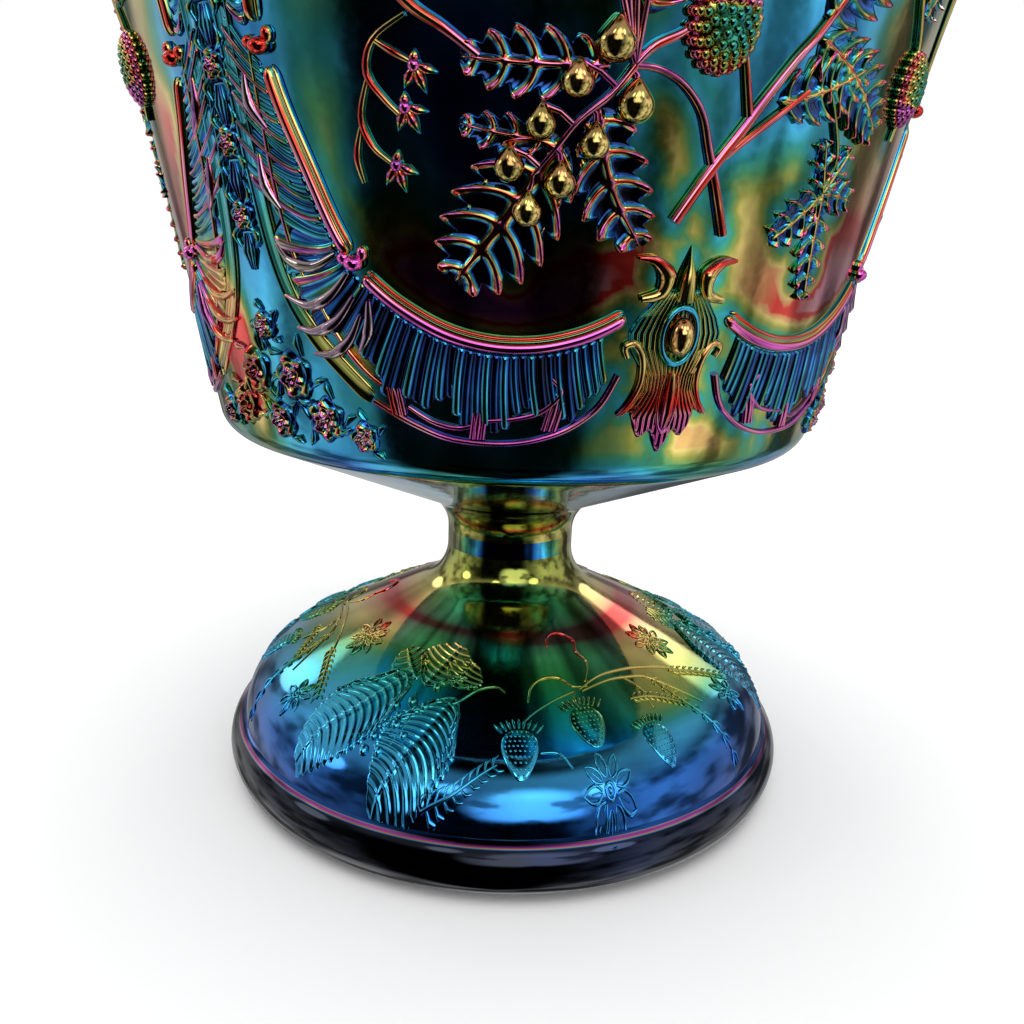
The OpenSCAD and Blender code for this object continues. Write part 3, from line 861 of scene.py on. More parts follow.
def palmette():
    """Oval in a ring over a fluted fan that ends in points, with two crescents and a spike above it."""
    def fan(u, v):
        down = (1 - v) / 2
        notch = 2.1 * math.sin(2 * math.pi * min(1.0, abs(u))) ** 2
        low = 4.7 + 5.6 * abs(u) ** 1.2 + notch
        up = 28.4 + (low - 28.4) * down
        wide = blend(up, (4, 7.8), (10.5, 7.8), (12.2, 6.0), (14.2, 4.5), (16.4, 4.5), (18.4, 6.0), (20.4, 7.6),
                     (22.4, 7.8), (24.6, 6.5), (26.6, 4.6), (28.4, 2.8))
        flute = 0.5 + 0.5 * math.cos(u * math.pi * 17)
        crown = 1 - abs(u) ** 2.4
        edge = min(1.0, (1 - abs(u)) * 10, (1 - down) * 16, down * 20)
        edge = math.sqrt(max(0.0, 1 - (1 - edge) ** 2))
        rise = 0.28 + 0.5 * crown * blend(up, (17, 1.0), (22, 0.55)) + 0.26 * flute
        return u * wide * MM, up * MM, (rise * edge - 0.3 * (1 - edge)) * MM
    parts = [grid_piece("fan", 150, 56, fan)]
    heart_up, ring_wide, ring_tall = 22.2, 2.75, 3.9
    parts.append(bead(0, heart_up * MM, 1.8 * MM, 1.5, 1.15, (28, 18)))
    parts[-1].data.transform(Matrix.Translation((0, -0.5 * MM, 0)))
    ring = [(ring_wide * MM * math.cos(a), (heart_up + ring_tall * math.sin(a)) * MM)
            for a in (2 * math.pi * i / 40 for i in range(41))]
    tongue_rim = [(1.55 * MM * math.sin(a), (13 - 4.8 * math.cos(a)) * MM)
                  for a in (-2.4 + 4.8 * i / 20 for i in range(21))]
    strokes = [
        stroke(ring, 0.95, 0.5, 0.5, 0.5),
        stroke(spots((0, 17), (0, 14.5), (0, 11.4), (0, 9)), (1.0, 1.3, 1.35, 0.9), 0.4, 1.0, 0.5),
        stroke(tongue_rim, 0.85, 0.2, 0.36, 0.2),
        stroke(spots((0, 27), (0, 30), (0, 34)), (0.5, 0.7, 0.1), 1.5, 1.05, 0.1),
    ]
    for flip in (1, -1):
        crescent = ((6.9, 32.3), (4.7, 32), (2.9, 30.2), (3.4, 27.8), (5.9, 27))
        scroll = ((6.7, 19), (7.2, 20.4), (5.9, 20.9), (4.6, 19), (4.3, 15.6), (5.4, 12.6), (7.1, 10.6))
        strokes.append(hook(*((flip * x, up) for x, up in crescent), thin=0.25, thick=1.25, end=0.5, rise=0.5))
        strokes.append(hook(*((flip * x, up) for x, up in scroll), thin=0.45, thick=0.65, end=0.25, rise=0.4))
        note(spots((flip * 4, 30), (flip * 6, 20), (flip * 6, 24), (flip * 6, 12)))
    note(spots((0, 7), (0, 11), (0, 18), (0, 27), (0, 32), (3, 12), (-3, 12)))
    parts.append(raised_lines("palmette_lines", strokes, 3))
    piece = joined("palmette", parts)

    def film_and_painted_light(co):
        along_fan = blend(co.z / MM, (5, 0.87), (10.5, 0.84), (12.5, 0.74), (15, 0.68), (18, 0.63), (23, 0.6),
                          (30, 0.6), (34, 0.84))
        ring_gap = abs(math.hypot(co.x / ring_wide, (co.z - heart_up * MM) / ring_tall) / MM - 1)
        # painted shade: the palmette's low parts are darkened, most strongly from the ring round the oval
        # upwards
        hollow = by_rise(co, (0.2, 0.5), (0.5, 0.24), (0.75, 0.0))
        hollow *= blend(co.z / MM, (10, 0.2), (17, 0.6), (17.5, 1.0))
        return along_fan - hollow - 0.42 * ridge(ring_gap, 0.2)
    paint(piece, film_and_painted_light)
    return press_on_wall(piece)


def rosette(x, up, radius, petals, twist, rise=1.2):
    """A pressed rose: whorls of petals round a raised heart."""
    note([(x, up), (x + radius, up), (x - radius, up)])

    def shape(u, v):
        reach = max(abs(u), abs(v))
        a = math.atan2(v, u) if reach else 0.0
        swirl = 0.5 + 0.5 * math.cos(petals * a + twist * reach * 5)
        r = radius * reach * (0.86 + 0.14 * swirl)
        whorl = 0.5 + 0.5 * math.cos(reach * 15 - a * 2)
        height = (0.35 + 0.35 * swirl + 0.4 * whorl) * (1 - reach ** 4) + 0.35 * ridge(reach, 0.2)
        edge = min(1.0, (1 - reach) * 9)
        return x + r * math.cos(a), up + r * math.sin(a), (height * rise * edge - 0.3 * (1 - edge)) * MM
    return grid_piece("rose", 30, 30, shape)


# roses low on the stile: degrees, height and radius in millimetres, petals
ROSES = ((55.6, 13.4, 4.4, 5), (64.4, 13.4, 4.4, 5), (60, 20.6, 2.6, 5), (50.4, 7.4, 4.0, 6),
         (69.6, 7.4, 4.0, 6), (60, 6.2, 3.6, 5), (43.8, 5.4, 2.9, 5), (76.2, 5.4, 2.9, 5))


def stile_chain():
    """Flower knots strung between the panels, over roses and leaves low down."""
    parts, strokes = [], []
    for up in (36, 45.5, 55, 64.5, 74, 83, 92):
        spot = at(60, up)
        parts.append(rosette(spot.x, spot.y, 2.7 * MM, 5, 1.0))
        for flip in (1, -1):
            for dx, dy in ((2.2, 2.6), (2.4, -2.4)):
                a = spot + Vector((flip * dx * 0.5 * MM, dy * 0.6 * MM))
                b = spot + Vector((flip * dx * 1.1 * MM, dy * 1.1 * MM))
                c = spot + Vector((flip * dx * 0.7 * MM, dy * 1.8 * MM))
                strokes.append(stroke(smooth_line([a, b, c], 4), 0.3, 0.3, 0.6, 0.15))
        low, high = spot - Vector((0, 7.4 * MM)), spot - Vector((0, 2.4 * MM))
        for side in (-0.9, 0.0, 0.9):
            across = Vector((side * MM, 0))
            strokes.append(stroke((low + across * 0.4, (low + high) / 2 + across, high + across * 0.5),
                                  (0.15, 0.3, 0.15), 0.2, 0.45, 0.2))
    for deg, up, size, petals in ROSES:
        spot = at(deg, up)
        parts.append(rosette(spot.x, spot.y, size * MM, petals, 0.8, 1.35))
        for k in range(5):
            a = 0.6 + deg + k * 1.26
            root = spot + Vector((math.cos(a), math.sin(a))) * size * 0.9 * MM
            tip = spot + Vector((math.cos(a + 0.35), math.sin(a + 0.35))) * size * 1.55 * MM
            mid = (root + tip) / 2 + Vector((math.cos(a + 1.6), math.sin(a + 1.6))) * 0.5 * MM
            if tip.y > 2.2 * MM:
                strokes.append(stroke((root, mid, tip), 0.2, 0.25, 0.62, 0.12))
    parts.append(raised_lines("chain", strokes, 1))
    piece = joined("stile_chain", parts)
    # painted light: the roses' and knots' raised tops are painted pale as a highlight and their low parts near
    # black as shade
    paint(piece, lambda co: by_rise(co, (0.1, 0.0), (0.45, 0.08), (0.7, 0.24), (0.85, 0.6), (1.0, 0.7),
                                    (1.2, 0.96), (1.8, 1.0)))
    return press_on_wall(piece)


# ---------------------------------------------------------------- relief on the foot, drawn in plan
def plan(degrees, r):
    """A place on the foot: degrees from the first panel's axis and radius in millimetres."""
    a = math.radians(degrees)
    return Vector((r * MM * math.sin(a), -r * MM * math.cos(a)))


def plans(*places):
    """Places on the foot's plan, from degrees and radius in millimetres."""
    return [plan(*p) for p in places]


def line_on_foot(places, first=0.2, middle=0.28, last=0.16, rise=0.06):
    """A smooth raised line through places in degrees and radius."""
    return stroke(smooth_line(plans(*places), 6), rise, first, middle, last)


def veined_lobe(spine, width, veins, rise=0.3):
    """One lobe of the foot's leaf: a low blade with a midrib and many fine curved veins."""
    spine = smooth_line(spine, 12)
    count = len(spine) - 1

    def shape(u, v):
        i = (u + 1) / 2
        t = abs(v)
        forward = 0.3 * t * t
        s = min(1.0, i + forward * (1 - i))
        p, way = along(spine, s)
        out = Vector((-way.y, way.x))
        half = 0.5 * width * math.sin(math.pi * min(1.0, 0.1 + 0.9 * i ** 0.85)) ** 0.7
        half *= 1 + 0.06 * math.sin(2 * math.pi * veins * i)
        vein = abs((i * veins) % 1.0 - 0.5)
        height = 0.05 + 0.8 * ridge(t, 0.06) + 0.9 * ridge(vein, 0.13) + 0.6 * ridge(1 - t, 0.07)
        edge = min(1.0, (1 - t) * 14, i * 25, (1 - i) * 20)
        q = p + out * v * half
        return q.x, q.y, (height * rise * edge - 0.25 * (1 - edge)) * MM
    return grid_piece("lobe", veins * 8, 26, shape)


def foot_leaf():
    """A leaf of five lobes with small berries between them and two tendrils."""
    # each lobe: its spine in degrees and radius, its width in millimetres, its number of veins
    lobes = (
        (((-50, 33.4), (-55, 39.6), (-59.5, 46), (-65, 54.2)), 14.6, 16),
        (((-34.4, 37), (-37.6, 42.2), (-41, 48.8), (-45.2, 55.2)), 15.4, 16),
        (((-45, 36.6), (-43.4, 33.4), (-41, 29.6), (-39, 26.6)), 11.0, 9),
        (((-37, 35.8), (-35.4, 33.8), (-33.4, 31.6), (-31.4, 30)), 8.0, 6),
        (((-48, 35.6), (-52, 33.6), (-56, 31.6), (-59.6, 30)), 7.4, 6),
    )
    parts = [veined_lobe(plans(*spine), width * MM, veins) for spine, width, veins in lobes]
    for deg, r, size in (
            (-50, 49.7, 0.8), (-49.5, 47.4, 0.7), (-46.8, 49.3, 0.7), (-46.1, 44.6, 0.9), (-43.2, 46.1, 0.7),
            (-49.1, 41.2, 0.8), (-45.5, 39.8, 0.9), (-41, 36.2, 0.7), (-41.7, 40.2, 0.8), (-47, 42.8, 0.6)):
        p = plan(deg, r)
        parts.append(bead(p.x, p.y, size * MM, 1.0, 0.9, (12, 8)))
    strokes = [line_on_foot(((-38, 38.6), (-34.4, 38.5), (-29, 35.4), (-24, 34.6), (-21.3, 35.6))),
               line_on_foot(((-46, 38), (-44, 42), (-45, 48)), 0.2, 0.3, 0.1)]
    parts.append(raised_lines("stem", strokes, 1))
    return press_on_dome(joined("foot_leaf", parts))


def strawberry(deg, r, size):
    """An egg-shaped fruit seen in plan with raised seeds and strokes for its hull."""
    centre = plan(deg, r)
    inward = (-centre).normalized()
    side = Vector((-inward.y, inward.x))
    parts, strokes = [], []
    pad = bead(0, 0, size * 0.5, 1.0, 0.14, (24, 14))
    for vertex in pad.data.vertices:
        x, up = vertex.co.x, vertex.co.z
        p = centre + side * x * 0.84 * (1 + 0.3 * up / (size * 0.5)) + inward * up * 1.1
        vertex.co = (p.x, vertex.co.y, p.y)
    parts.append(pad)
    seeds = []
    for row in range(9):
        up = -0.43 + 0.86 * row / 8
        half = math.sqrt(max(0.0, 0.23 - up * up)) * 0.8 * (1 + 0.3 * up * 2)
        count = max(1, round(half * 2 / 0.115)) + row % 2
        for i in range(count):
            x = half * (2 * (i + 0.5) / count - 1)
            flat = 1 - (x * x + up * up) * 3.6
            p = centre + side * x * size + inward * up * size * 1.1
            seeds.append((p.x, -0.05 * size * (0.4 + 0.6 * max(0.0, flat)), p.y))
    parts += scattered(bead(0, 0, size * 0.033, 1.0, 1.0, (6, 4)), seeds)
    for i in range(9):
        x = -0.5 + i / 8
        root = centre + side * x * size * 0.8 + inward * size * (0.6 - 0.5 * x * x)
        tip = root + inward * size * 0.2 + side * x * size * 0.35
        strokes.append(stroke((root, (root + tip) / 2, tip), (0.05, 0.15, 0.02), 0.2, 0.32, 0.12))
    parts.append(raised_lines("hull", strokes, 1))
    return parts


def foot_fruit():
    """Three strawberries on long tendrils, with feathery sprigs."""
    parts = []
    for deg, r, size in ((-17.8, 46.6, 7.4), (-1.0, 42.9, 7.2), (13.8, 48.2, 6.4)):
        parts += strawberry(deg, r, size * MM)
    strokes = [
        line_on_foot(((-4.6, 26.4), (-3.8, 24.8), (-0.4, 23.8), (4.4, 24.2), (7.4, 26), (6, 28.4), (7.6, 31),
                      (3.6, 34.4))),
        line_on_foot(((-15, 37.4), (-13.6, 34.6), (-10, 33), (-4.6, 33), (-1, 35), (3.4, 35.4))),
        line_on_foot(((0.6, 35.8), (8.1, 34), (16, 33.8), (25, 34.8), (34.6, 37.5), (40.4, 40.9))),
        line_on_foot(((1, 36.2), (11.2, 35.1), (18, 35.6), (23.4, 36.7), (28.2, 40), (33.2, 45.7))),
        line_on_foot(((-13.6, 46.8), (-9.9, 47), (-7.5, 49.4))),
        line_on_foot(((-1, 36), (-2.4, 38), (-1.4, 39.4))),
        line_on_foot(((-1, 36), (-8, 37.4), (-14, 39.6), (-17, 41.6)), 0.16, 0.22, 0.16),
        line_on_foot(((16, 35), (19, 38.6), (18.4, 42.6)), 0.16, 0.22, 0.16),
    ]
    for line, size in (
            (((-35.5, 53.8), (-29.8, 52.1), (-22.5, 48.6)), 2.0), (((25, 36.6), (28.4, 44), (32, 54)), 1.7),
            (((13.6, 39.6), (20, 40.4), (26.8, 43.6)), 1.5), (((34, 38), (42, 41), (50, 46)), 1.8)):
        spine = smooth_line(plans(*line), 6)
        strokes.append(stroke(spine, 0.06, 0.18, 0.26, 0.16))
        for i in range(9):
            p, way = along(spine, 0.06 + 0.11 * i)
            for flip in (1, -1):
                out = Vector((-way.y, way.x)) * flip
                tip = p + (out * 0.6 + way * 0.8) * size * MM
                mid = p + (out * 0.45 + way * 0.3) * size * MM
                strokes.append(stroke((p, mid, tip), (0.04, 0.1, 0.02), 0.14, 0.24, 0.1))
    parts.append(raised_lines("tendrils", strokes, 1))
    return press_on_dome(joined("foot_fruit", parts))


def star_flower(deg, r, size, petals, turn):
    """A flower in raised outline: pointed petals round a ringed heart."""
    centre = plan(deg, r)
    parts, strokes = [], []
    for k in range(petals):
        a = 2 * math.pi * k / petals + turn
        way = Vector((math.cos(a), math.sin(a)))
        out = Vector((-way.y, way.x))
        for flip in (1, -1):
            petal = [centre + (way * reach + out * flip * half) * size
                     for reach, half in ((0.3, 0.03), (0.5, 0.15), (0.78, 0.13), (1, 0))]
            strokes.append(stroke(smooth_line(petal, 3), 0.08, 0.16, 0.24, 0.14))
        fold = (centre + way * size * 0.34, centre + way * size * 0.72)
        strokes.append(stroke(fold, 0.02, 0.12, 0.16, 0.1))
    ring = [centre + Vector((math.cos(a), math.sin(a))) * size * 0.17
            for a in (2 * math.pi * i / 12 for i in range(13))]
    strokes.append(stroke(ring, 0.12, 0.2, 0.2, 0.2))
    parts.append(bead(centre.x, centre.y, size * 0.08, 1.0, 1.0, (10, 6)))
    parts.append(raised_lines("flower_lines", strokes, 1))
    return parts


def foot_flowers():
    """Four open flowers: two near the foot's edge and two higher up."""
    parts = []
    for deg, r, size, petals, turn in ((-1, 52.2, 4.7, 9, 0.35), (40, 31.2, 4.0, 7, 0.2),
                                       (43.7, 47.6, 3.6, 7, 0.2), (-78, 32.4, 4.2, 8, 0.5)):
        parts += star_flower(deg, r, size * MM, petals, turn)
    return press_on_dome(joined("foot_flowers", parts))


# in millimetres: height of the thin line where the foot's edge begins, radius and height where its shoulder
# begins to fall, and radius from which its colour differs from side to side
JOIN_UP, SHOULDER_FROM, SHOULDER_UP, BANDS_FROM = 10.4, 46.3, 22.8, 25
# the film on the foot by degrees from the front: distance out over the foot in millimetres, share of the film
FOOT_BANDS = (
    (-125, ((25, 0.74), (31, 0.6), (37, 0.46), (44, 0.24), (52, 0.14), (59, 0.1))),
    (-85, ((25, 0.72), (31, 0.62), (38, 0.5), (44, 0.26), (50, 0.16), (59, 0.12))),
    (-42, ((25, 0.68), (30, 0.54), (35, 0.3), (44, 0.21), (52, 0.13), (59, 0.08))),
    (0, ((25, 0.74), (29, 0.56), (34, 0.42), (39, 0.3), (45, 0.2), (59, 0.12))),
    (42, ((25, 0.74), (30, 0.62), (36, 0.53), (43, 0.47), (47, 0.2), (52, 0.1), (59, 0.07))),
    (80, ((25, 0.72), (31, 0.62), (37, 0.53), (44, 0.4), (49, 0.1), (59, 0.06))),
    (125, ((25, 0.74), (31, 0.6), (37, 0.46), (44, 0.24), (52, 0.14), (59, 0.1))))


def foot_share(co):
    """The film on the foot, from the dark edge in through blue, green, gold and rose to the stem."""
    r = math.hypot(co.x, co.y) / MM
    up = co.z / MM
    out = r if r < SHOULDER_FROM else SHOULDER_FROM + SHOULDER_UP - up
    if up < JOIN_UP + 0.3:
        return blend(up - JOIN_UP, (-0.3, 0.0), (-0.1, 0.88), (0.1, 0.93), (0.3, 0.9))
    if out < BANDS_FROM:
        return blend(out, (12.8, 0.5), (17, 0.56), (21, 0.65), (25, 0.75))
    turn = math.degrees(math.atan2(co.x, -co.y))
    return blend(turn, *((deg, blend(out, *bands)) for deg, bands in FOOT_BANDS))


for kind, make, finish in (
        ("frame_rail", frame_rail, rail_film), ("lower_scroll", lower_scroll, scroll_film),
        ("feather_band", feather_band, band_film), ("palmette", palmette, palmette_film),
        ("berry_spray", berry_spray, leaf_film), ("bud_sprig", bud_sprig, vine_film),
        ("vine_leaves", vine_leaves, vine_film), ("stile_chain", stile_chain, stile_film)):
    on_every_side(make(), kind, finish)
for kind, make in (("foot_leaf", foot_leaf), ("foot_fruit", foot_fruit), ("foot_flowers", foot_flowers)):
    relief = make()
    paint(relief, lambda co: foot_share(Vector((co.x, co.y, max(co.z, 14 * MM)))) + 0.03)
    on_every_side(relief, kind, foot_relief_film)


# ---------------------------------------------------------------- the turned body
def foot_body():
    """The foot: dome, rounded shoulder, thick edge and standing ring, hollow underneath."""
    outline = [(0, STEM_Z), (WAIST_R, STEM_Z)]
    outline += arc((WAIST_R + ROOT_R, STEM_Z), ROOT_R, 180, 270 - math.degrees(DOME_A), 12)[1:]
    straight = 14
    outline += [(ROOT_X + (DOME_TOP[0] - ROOT_X) * i / straight,
                 ROOT_Z + (DOME_TOP[1] - ROOT_Z) * i / straight) for i in range(1, straight)]
    outline += arc(SHOULDER_C, SHOULDER_R, 90 - math.degrees(DOME_A), 90 - math.degrees(SHOULDER_A), 28)
    outline += arc(EDGE_C, EDGE_R, 60, 30, 20)[1:] + arc(EDGE_C, EDGE_R, 30, -90, 16)[1:]
    hollow = FOOT_R - EDGE_R - 4 * MM
    top = ROOT_Z - 5.5 * MM / math.cos(DOME_A)
    outline += [(hollow, 0), (hollow - 2 * MM, 3.5 * MM), (hollow - 5 * MM, 9 * MM), (36 * MM, 16.6 * MM),
                (24 * MM, 22.6 * MM), (14 * MM, top + (ROOT_X - 14 * MM) * math.tan(DOME_A)),
                (6 * MM, 33.4 * MM), (0, 34 * MM)]
    piece = turned("foot_body", outline, 192)
    paint(piece, foot_share)
    piece.data.materials.append(foot_film)
    finish_piece(piece, "foot", "foot")


def stem_body():
    """The short stem and, over it, the wafer that flares out under the bowl."""
    top = STEM_Z + 3.4 * MM
    outline = [(0, STEM_Z), (WAIST_R, STEM_Z), (WAIST_R, (STEM_Z + top) / 2), (WAIST_R, top), (0, top)]
    piece = turned("stem_body", outline, 128)
    # painted reflection: the stem is painted near black where it faces the front and lighter towards its sides,
    # for the dark room in front and the light sides
    paint(piece, lambda co: blend(abs(math.degrees(math.atan2(co.x, -co.y))),
                                  (8, 0.02), (28, 0.16), (56, 0.54)))
    piece.data.materials.append(stem_film)
    finish_piece(piece, "stem", "stem")
    outline = [(0, top)] + arc((WAIST_R + WAFER_R, top), WAFER_R, 180, 90 + math.degrees(UNDER_A), 14)
    outline += [(0, UNDER_Z)]
    piece = turned("wafer_body", outline, 128)
    paint(piece, lambda co: blend(math.hypot(co.x, co.y) / MM, (12.8, 0.5), (18, 0.4)))
    piece.data.materials.append(stem_film)
    finish_piece(piece, "wafer", "wafer")


def corner(point, before, after, radius, steps):
    """Arc that rounds the corner at point between the directions to its two neighbours."""
    u = (Vector(before) - Vector(point)).normalized()
    v = (Vector(after) - Vector(point)).normalized()
    half = u.angle(v) / 2
    centre = Vector(point) + (u + v).normalized() * radius / math.sin(half)
    a = Vector(point) + u * radius / math.tan(half) - centre
    b = Vector(point) + v * radius / math.tan(half) - centre
    turn = math.atan2(a.x * b.y - a.y * b.x, a.dot(b))
    start = math.atan2(a.y, a.x)
    angles = [start + turn * i / steps for i in range(steps + 1)]
    return [(centre.x + radius * math.cos(angle), centre.y + radius * math.sin(angle)) for angle in angles]


# clouds of colour on the wall: degrees from the panel's axis, height in millimetres, size, share of the film
CLOUDS = (
    (-43, 44, 8, 0.44), (-37, 66, 8, 0.5), (-31, 58, 9, 0.05), (-22, 42, 9, 0.03), (-25, 27, 9, 0.95),
    (-11, 29, 6, 0.84), (-6, 30, 6, 0.72), (-4, 45, 5, 0.62), (-15, 66, 7, 0.5), (1, 38, 6, 0.63),
    (6, 48, 6, 0.24), (10, 36, 7, 0.6), (15, 30, 6, 0.68), (22, 36, 8, 0.78), (30, 30, 8, 0.82),
    (30, 46, 8, 0.58), (40, 44, 8, 0.72), (14, 62, 9, 0.2), (34, 68, 9, 0.62), (0, 72, 9, 0.24),
    (-30, 80, 12, 0.7), (30, 84, 12, 0.7), (0, 88, 10, 0.8), (0, 100, 9, 0.5), (0, 12, 6, 0.66),
    (-14, 4, 7, 0.42), (14, 4, 6, 0.64), (-30, 4, 8, 0.3), (32, 4, 7, 0.7), (-9, 8, 5, 0.45),
    (60, 28, 7, 0.2), (-60, 28, 7, 0.2), (60, 60, 9, 0.19), (-60, 60, 9, 0.19), (60, 8, 7, 0.22),
    (-60, 8, 7, 0.22), (-55, 22, 4, 0.26), (55, 22, 4, 0.26), (60, 100, 12, 0.26), (-60, 100, 12, 0.26))
GLOW_AT = (-47.6, 18, 11)             # the red glow: degrees from the front, height and reach in millimetres


def glow(co):
    """How strongly the wall glows red at one place low on a stile."""
    deg, height, reach = GLOW_AT
    above = (co.z - EDGE_Z) / MM - height
    across = math.degrees(math.atan2(co.x, -co.y)) - deg + above * 0.13
    return min(1.0, 3 * math.exp(-(across / 4.2) ** 2 - (above / reach) ** 2))


def spread_glow():
    """The relief on the glowing stile takes the wall's red."""
    for piece in [p for p in bpy.data.objects
                  if p.name.startswith(("feather_band_", "stile_chain_", "lower_scroll_"))]:
        film_and_painted_light = piece.data.attributes.get("film_and_painted_light")
        if film_and_painted_light:
            for vertex, share in zip(piece.data.vertices, film_and_painted_light.data):
                if vertex.co.x < 0 and vertex.co.y < 0:
                    share.value += (0.64 - share.value) * glow(vertex.co)


def bowl_body():
    """The bowl: underside, rounded corner, wall, lip, inside wall and floor, with colour clouds on the wall."""
    lip = (RIM_R - LIP_R, RIM_Z - LIP_R)
    corner_end = EDGE_Z + 5.2 * MM
    under = BASE_R - 5 * MM - WAFER_TOP_R
    outline = [(0, UNDER_Z), (WAFER_TOP_R * 0.6, UNDER_Z), (WAFER_TOP_R, UNDER_Z)]
    straight = 12
    outline += [(WAFER_TOP_R + under * i / straight, UNDER_Z + under * i / straight * math.tan(UNDER_A))
                for i in range(1, straight)]
    outline += corner((BASE_R, EDGE_Z), (WAFER_TOP_R, UNDER_Z), (wall_r(EDGE_Z + 20 * MM), EDGE_Z + 20 * MM),
                      CORNER_R, 10)
    heights = [corner_end + (lip[1] - corner_end) * i / 64 for i in range(64)]
    outline += [(wall_r(z), z) for z in heights]
    outline += arc(lip, LIP_R, 0, 180, 14)
    inner = wall_r(EDGE_Z) - WALL_T * 1.02
    floor_z = EDGE_Z + FLOOR_T
    outline += [(wall_r(z) - WALL_T * 1.02, z) for z in reversed(heights[6:62:5])]
    outline += corner((inner, floor_z), (inner + LEAN * 20 * MM, floor_z + 20 * MM),
                      (WAFER_TOP_R, UNDER_Z + FLOOR_T), CORNER_R * 1.6, 8)
    outline += [(30 * MM, UNDER_Z + FLOOR_T + (30 * MM - WAFER_TOP_R) * math.tan(UNDER_A) * 0.95),
                (WAFER_TOP_R, UNDER_Z + FLOOR_T), (8 * MM, UNDER_Z + FLOOR_T - 0.8 * MM),
                (0, UNDER_Z + FLOOR_T - 1 * MM)]
    piece = turned("bowl_body", outline, 288)
    tree = KDTree(len(marks))
    for i, (x, up) in enumerate(marks):
        tree.insert((x, up, 0), i)
    tree.balance()

    def film_and_painted_light(co):
        """Clouds of colour on the wall, turning blue close to the relief."""
        r = math.hypot(co.x, co.y)
        up = (co.z - EDGE_Z) / MM
        if r < wall_r(co.z) - 2 * MM and up > 0:
            wave = 0.05 * math.sin(3 * math.atan2(co.x, co.y))
            return blend(up, (4, 0.46), (30, 0.34), (70, 0.26), (104, 0.15)) + wave
        if up < -1:
            return blend(r / MM, (18, 0.25), (30, 0.3), (44, 0.22), (56, 0.2))
        turn = math.atan2(co.x, -co.y) - FIRST_PANEL
        turn = (turn + SIDE_TURN / 2) % SIDE_TURN - SIDE_TURN / 2
        deg = math.degrees(turn)
        total = weight = 0.0
        for spot_deg, spot_up, size, share in CLOUDS:
            w = math.exp(-((deg - spot_deg) ** 2 + (up - spot_up) ** 2) / size ** 2) + 1e-9
            total += w * share
            weight += w
        share = total / weight
        gap = min(tree.find(((turn + k * SIDE_TURN) * DRAW_R, up * MM, 0))[2] for k in (-1, 0, 1)) / MM
        halo = blend(gap, (0.6, 0.0), (4.0, 1.0))
        low = blend(up, (1, 1.0), (5, 0.0))
        share = 0.16 + (share - 0.16) * (0.16 + 0.84 * halo)
        share = share * (1 - low) + low * (0.24 + 0.1 * math.sin(math.radians(deg * 9)))
        # one stile glows red where light comes through the wall
        return share + (0.73 - share) * glow(co)
    paint(piece, film_and_painted_light)
    piece.data.materials.append(wall_film)
    finish_piece(piece, "bowl", "bowl")


foot_body()
stem_body()
bowl_body()
spread_glow()


# ---------------------------------------------------------------- the studio
def floor():
    """A wide pale floor under the bowl, which the glass doesn't mirror."""
    fresh()
    bpy.ops.mesh.primitive_plane_add(size=40, location=(0, 0, 0))
    sheet = bpy.context.object
    sheet.name = "studio_floor"
    paint_white = bpy.data.materials.new("pale_floor")
    paint_white.use_nodes = True
    paint_white.node_tree.nodes["Principled BSDF"].inputs["Base Color"].default_value = (0.9, 0.9, 0.9, 1)
    paint_white.node_tree.nodes["Principled BSDF"].inputs["Roughness"].default_value = 0.8
    sheet.data.materials.append(paint_white)
    sheet.visible_glossy = False


# levels of the room round the bowl: share of a turn from the back by the left, level
ROOM = ((0.0, 0.5), (0.1, 0.42), (0.2, 1.0), (0.26, 1.15), (0.33, 0.45), (0.37, 0.01), (0.56, 0.01),
        (0.6, 0.3), (0.68, 1.2), (0.78, 0.85), (0.86, 0.4), (1.0, 0.5))
# small bright windows: direction, how narrow, brightness
GLINTS = (((0.62, -0.6, 0.5), 0.988, 2.6), ((-0.9, -0.2, 0.36), 0.988, 2.6), ((-0.3, -0.72, 0.6), 0.992, 3.0),
          ((-0.6, 0.6, 0.4), 0.988, 2.0), ((0.5, 0.7, 0.4), 0.988, 2.0))
BACKDROP = 1.0                        # the pale backdrop that the camera sees behind the bowl


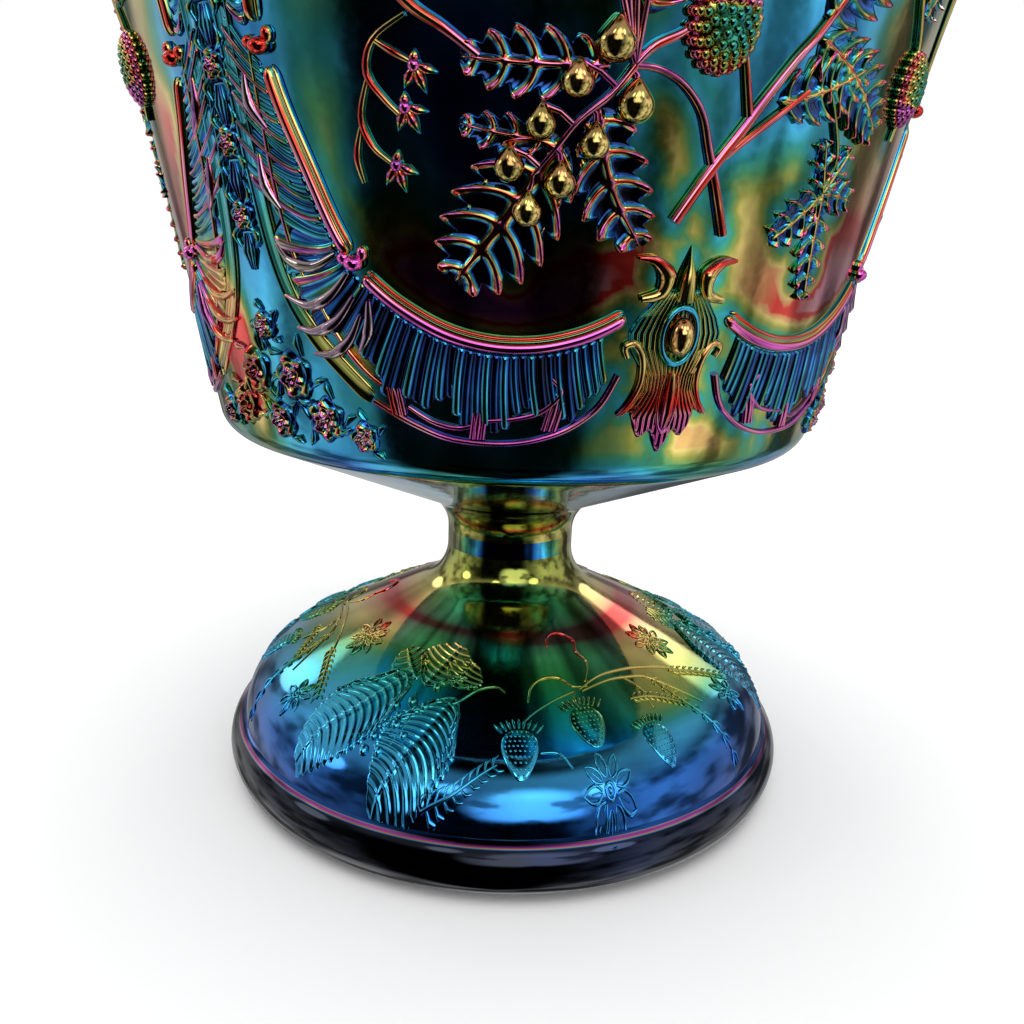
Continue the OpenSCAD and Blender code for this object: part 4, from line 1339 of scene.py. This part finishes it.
def surroundings():
    """A room that is light at the sides, dim behind and dark in front, with a pale backdrop."""
    world = bpy.data.worlds.new("studio")
    bpy.context.scene.world = world
    world.use_nodes = True
    nodes, links = world.node_tree.nodes, world.node_tree.links
    add, maths, vectors, between = node_tools(world.node_tree)
    toward = add("TexCoord").outputs["Generated"]
    split = add("SeparateXYZ", Vector=toward)

    def soft(value, low, high, start, end):
        return between(value, low, high, start, end, "SMOOTHSTEP")

    bearing = maths("ARCTAN2", split.outputs["X"], maths("MULTIPLY", split.outputs["Y"], -1))
    azimuth = maths("MULTIPLY_ADD", bearing, 1 / (2 * math.pi), 0.5)
    around = add("ValToRGB", Fac=azimuth)
    around.color_ramp.interpolation = "EASE"
    set_stops(around.color_ramp, [(share, (amount,) * 3) for share, amount in ROOM])
    # the window bars and shelves of the room break its light up
    breaks = add("TexNoise", Vector=toward, Scale=3.2, Detail=2.0).outputs["Fac"]
    broken = maths("MULTIPLY", around.outputs["Color"], soft(breaks, 0.36, 0.62, 0.16, 1.0))
    level = maths("MULTIPLY", broken, soft(split.outputs["Z"], 0.3, 0.75, 1.0, 0.12))
    # a pale patch high in front throws the upper lights on the relief
    front = maths("MULTIPLY", soft(split.outputs["Z"], 0.42, 0.6, 0.0, 1.0),
                  soft(split.outputs["Z"], 0.8, 0.92, 1.0, 0.0))
    level = maths("MULTIPLY_ADD", front, 0.45, level)
    # a window low in front, a little to the right, lights the foot's shoulder
    window = vectors("DOT_PRODUCT", toward, (0.19, -0.93, 0.32))
    pane = maths("MULTIPLY", soft(window, 0.88, 0.97, 0.0, 2.2), soft(breaks, 0.4, 0.5, 0.25, 1.0))
    level = maths("ADD", level, maths("MULTIPLY", pane, soft(split.outputs["Z"], -0.02, 0.12, 0.0, 1.0)))
    # small bright windows, which glint on the relief
    for direction, size, power in GLINTS:
        near = vectors("DOT_PRODUCT", toward, tuple(Vector(direction).normalized()))
        level = maths("ADD", level, soft(near, size, size + 0.006, 0.0, power))
    ray = add("LightPath")
    seen = add("Mix", data_type="FLOAT")
    links.new(ray.outputs["Is Camera Ray"], seen.inputs["Factor"])
    links.new(level, seen.inputs["A"])
    seen.inputs["B"].default_value = BACKDROP
    links.new(seen.outputs[0], nodes["Background"].inputs["Color"])
    nodes["Background"].inputs["Strength"].default_value = 1.0


def sky_light():
    """Broad light from above for the floor alone; the glass doesn't mirror it."""
    fresh()
    bpy.ops.object.light_add(type="SUN", location=(0, 0, 2))
    lamp = bpy.context.object
    lamp.name = "sky_light"
    lamp.data.energy = 3.0
    lamp.data.angle = math.radians(70)
    lamp.visible_glossy = False


def camera():
    """The front view, from a little above the rim and with a slight lean."""
    fresh()
    bpy.ops.object.camera_add(location=(0, -0.190, 0.106))
    eye = bpy.context.object
    eye.name = "front_camera"
    down = math.radians(90 - 16.07)
    lean = math.radians(2.0)
    eye.rotation_euler = (Matrix.Rotation(down, 3, "X") @ Matrix.Rotation(lean, 3, "Z")).to_euler()
    eye.data.sensor_width = 36
    eye.data.lens = 33.64
    eye.data.clip_start = 0.01
    eye.data.shift_x = 0.0013
    bpy.context.scene.camera = eye


floor()
surroundings()
sky_light()
camera()
bpy.context.scene.view_settings.view_transform = "Standard"
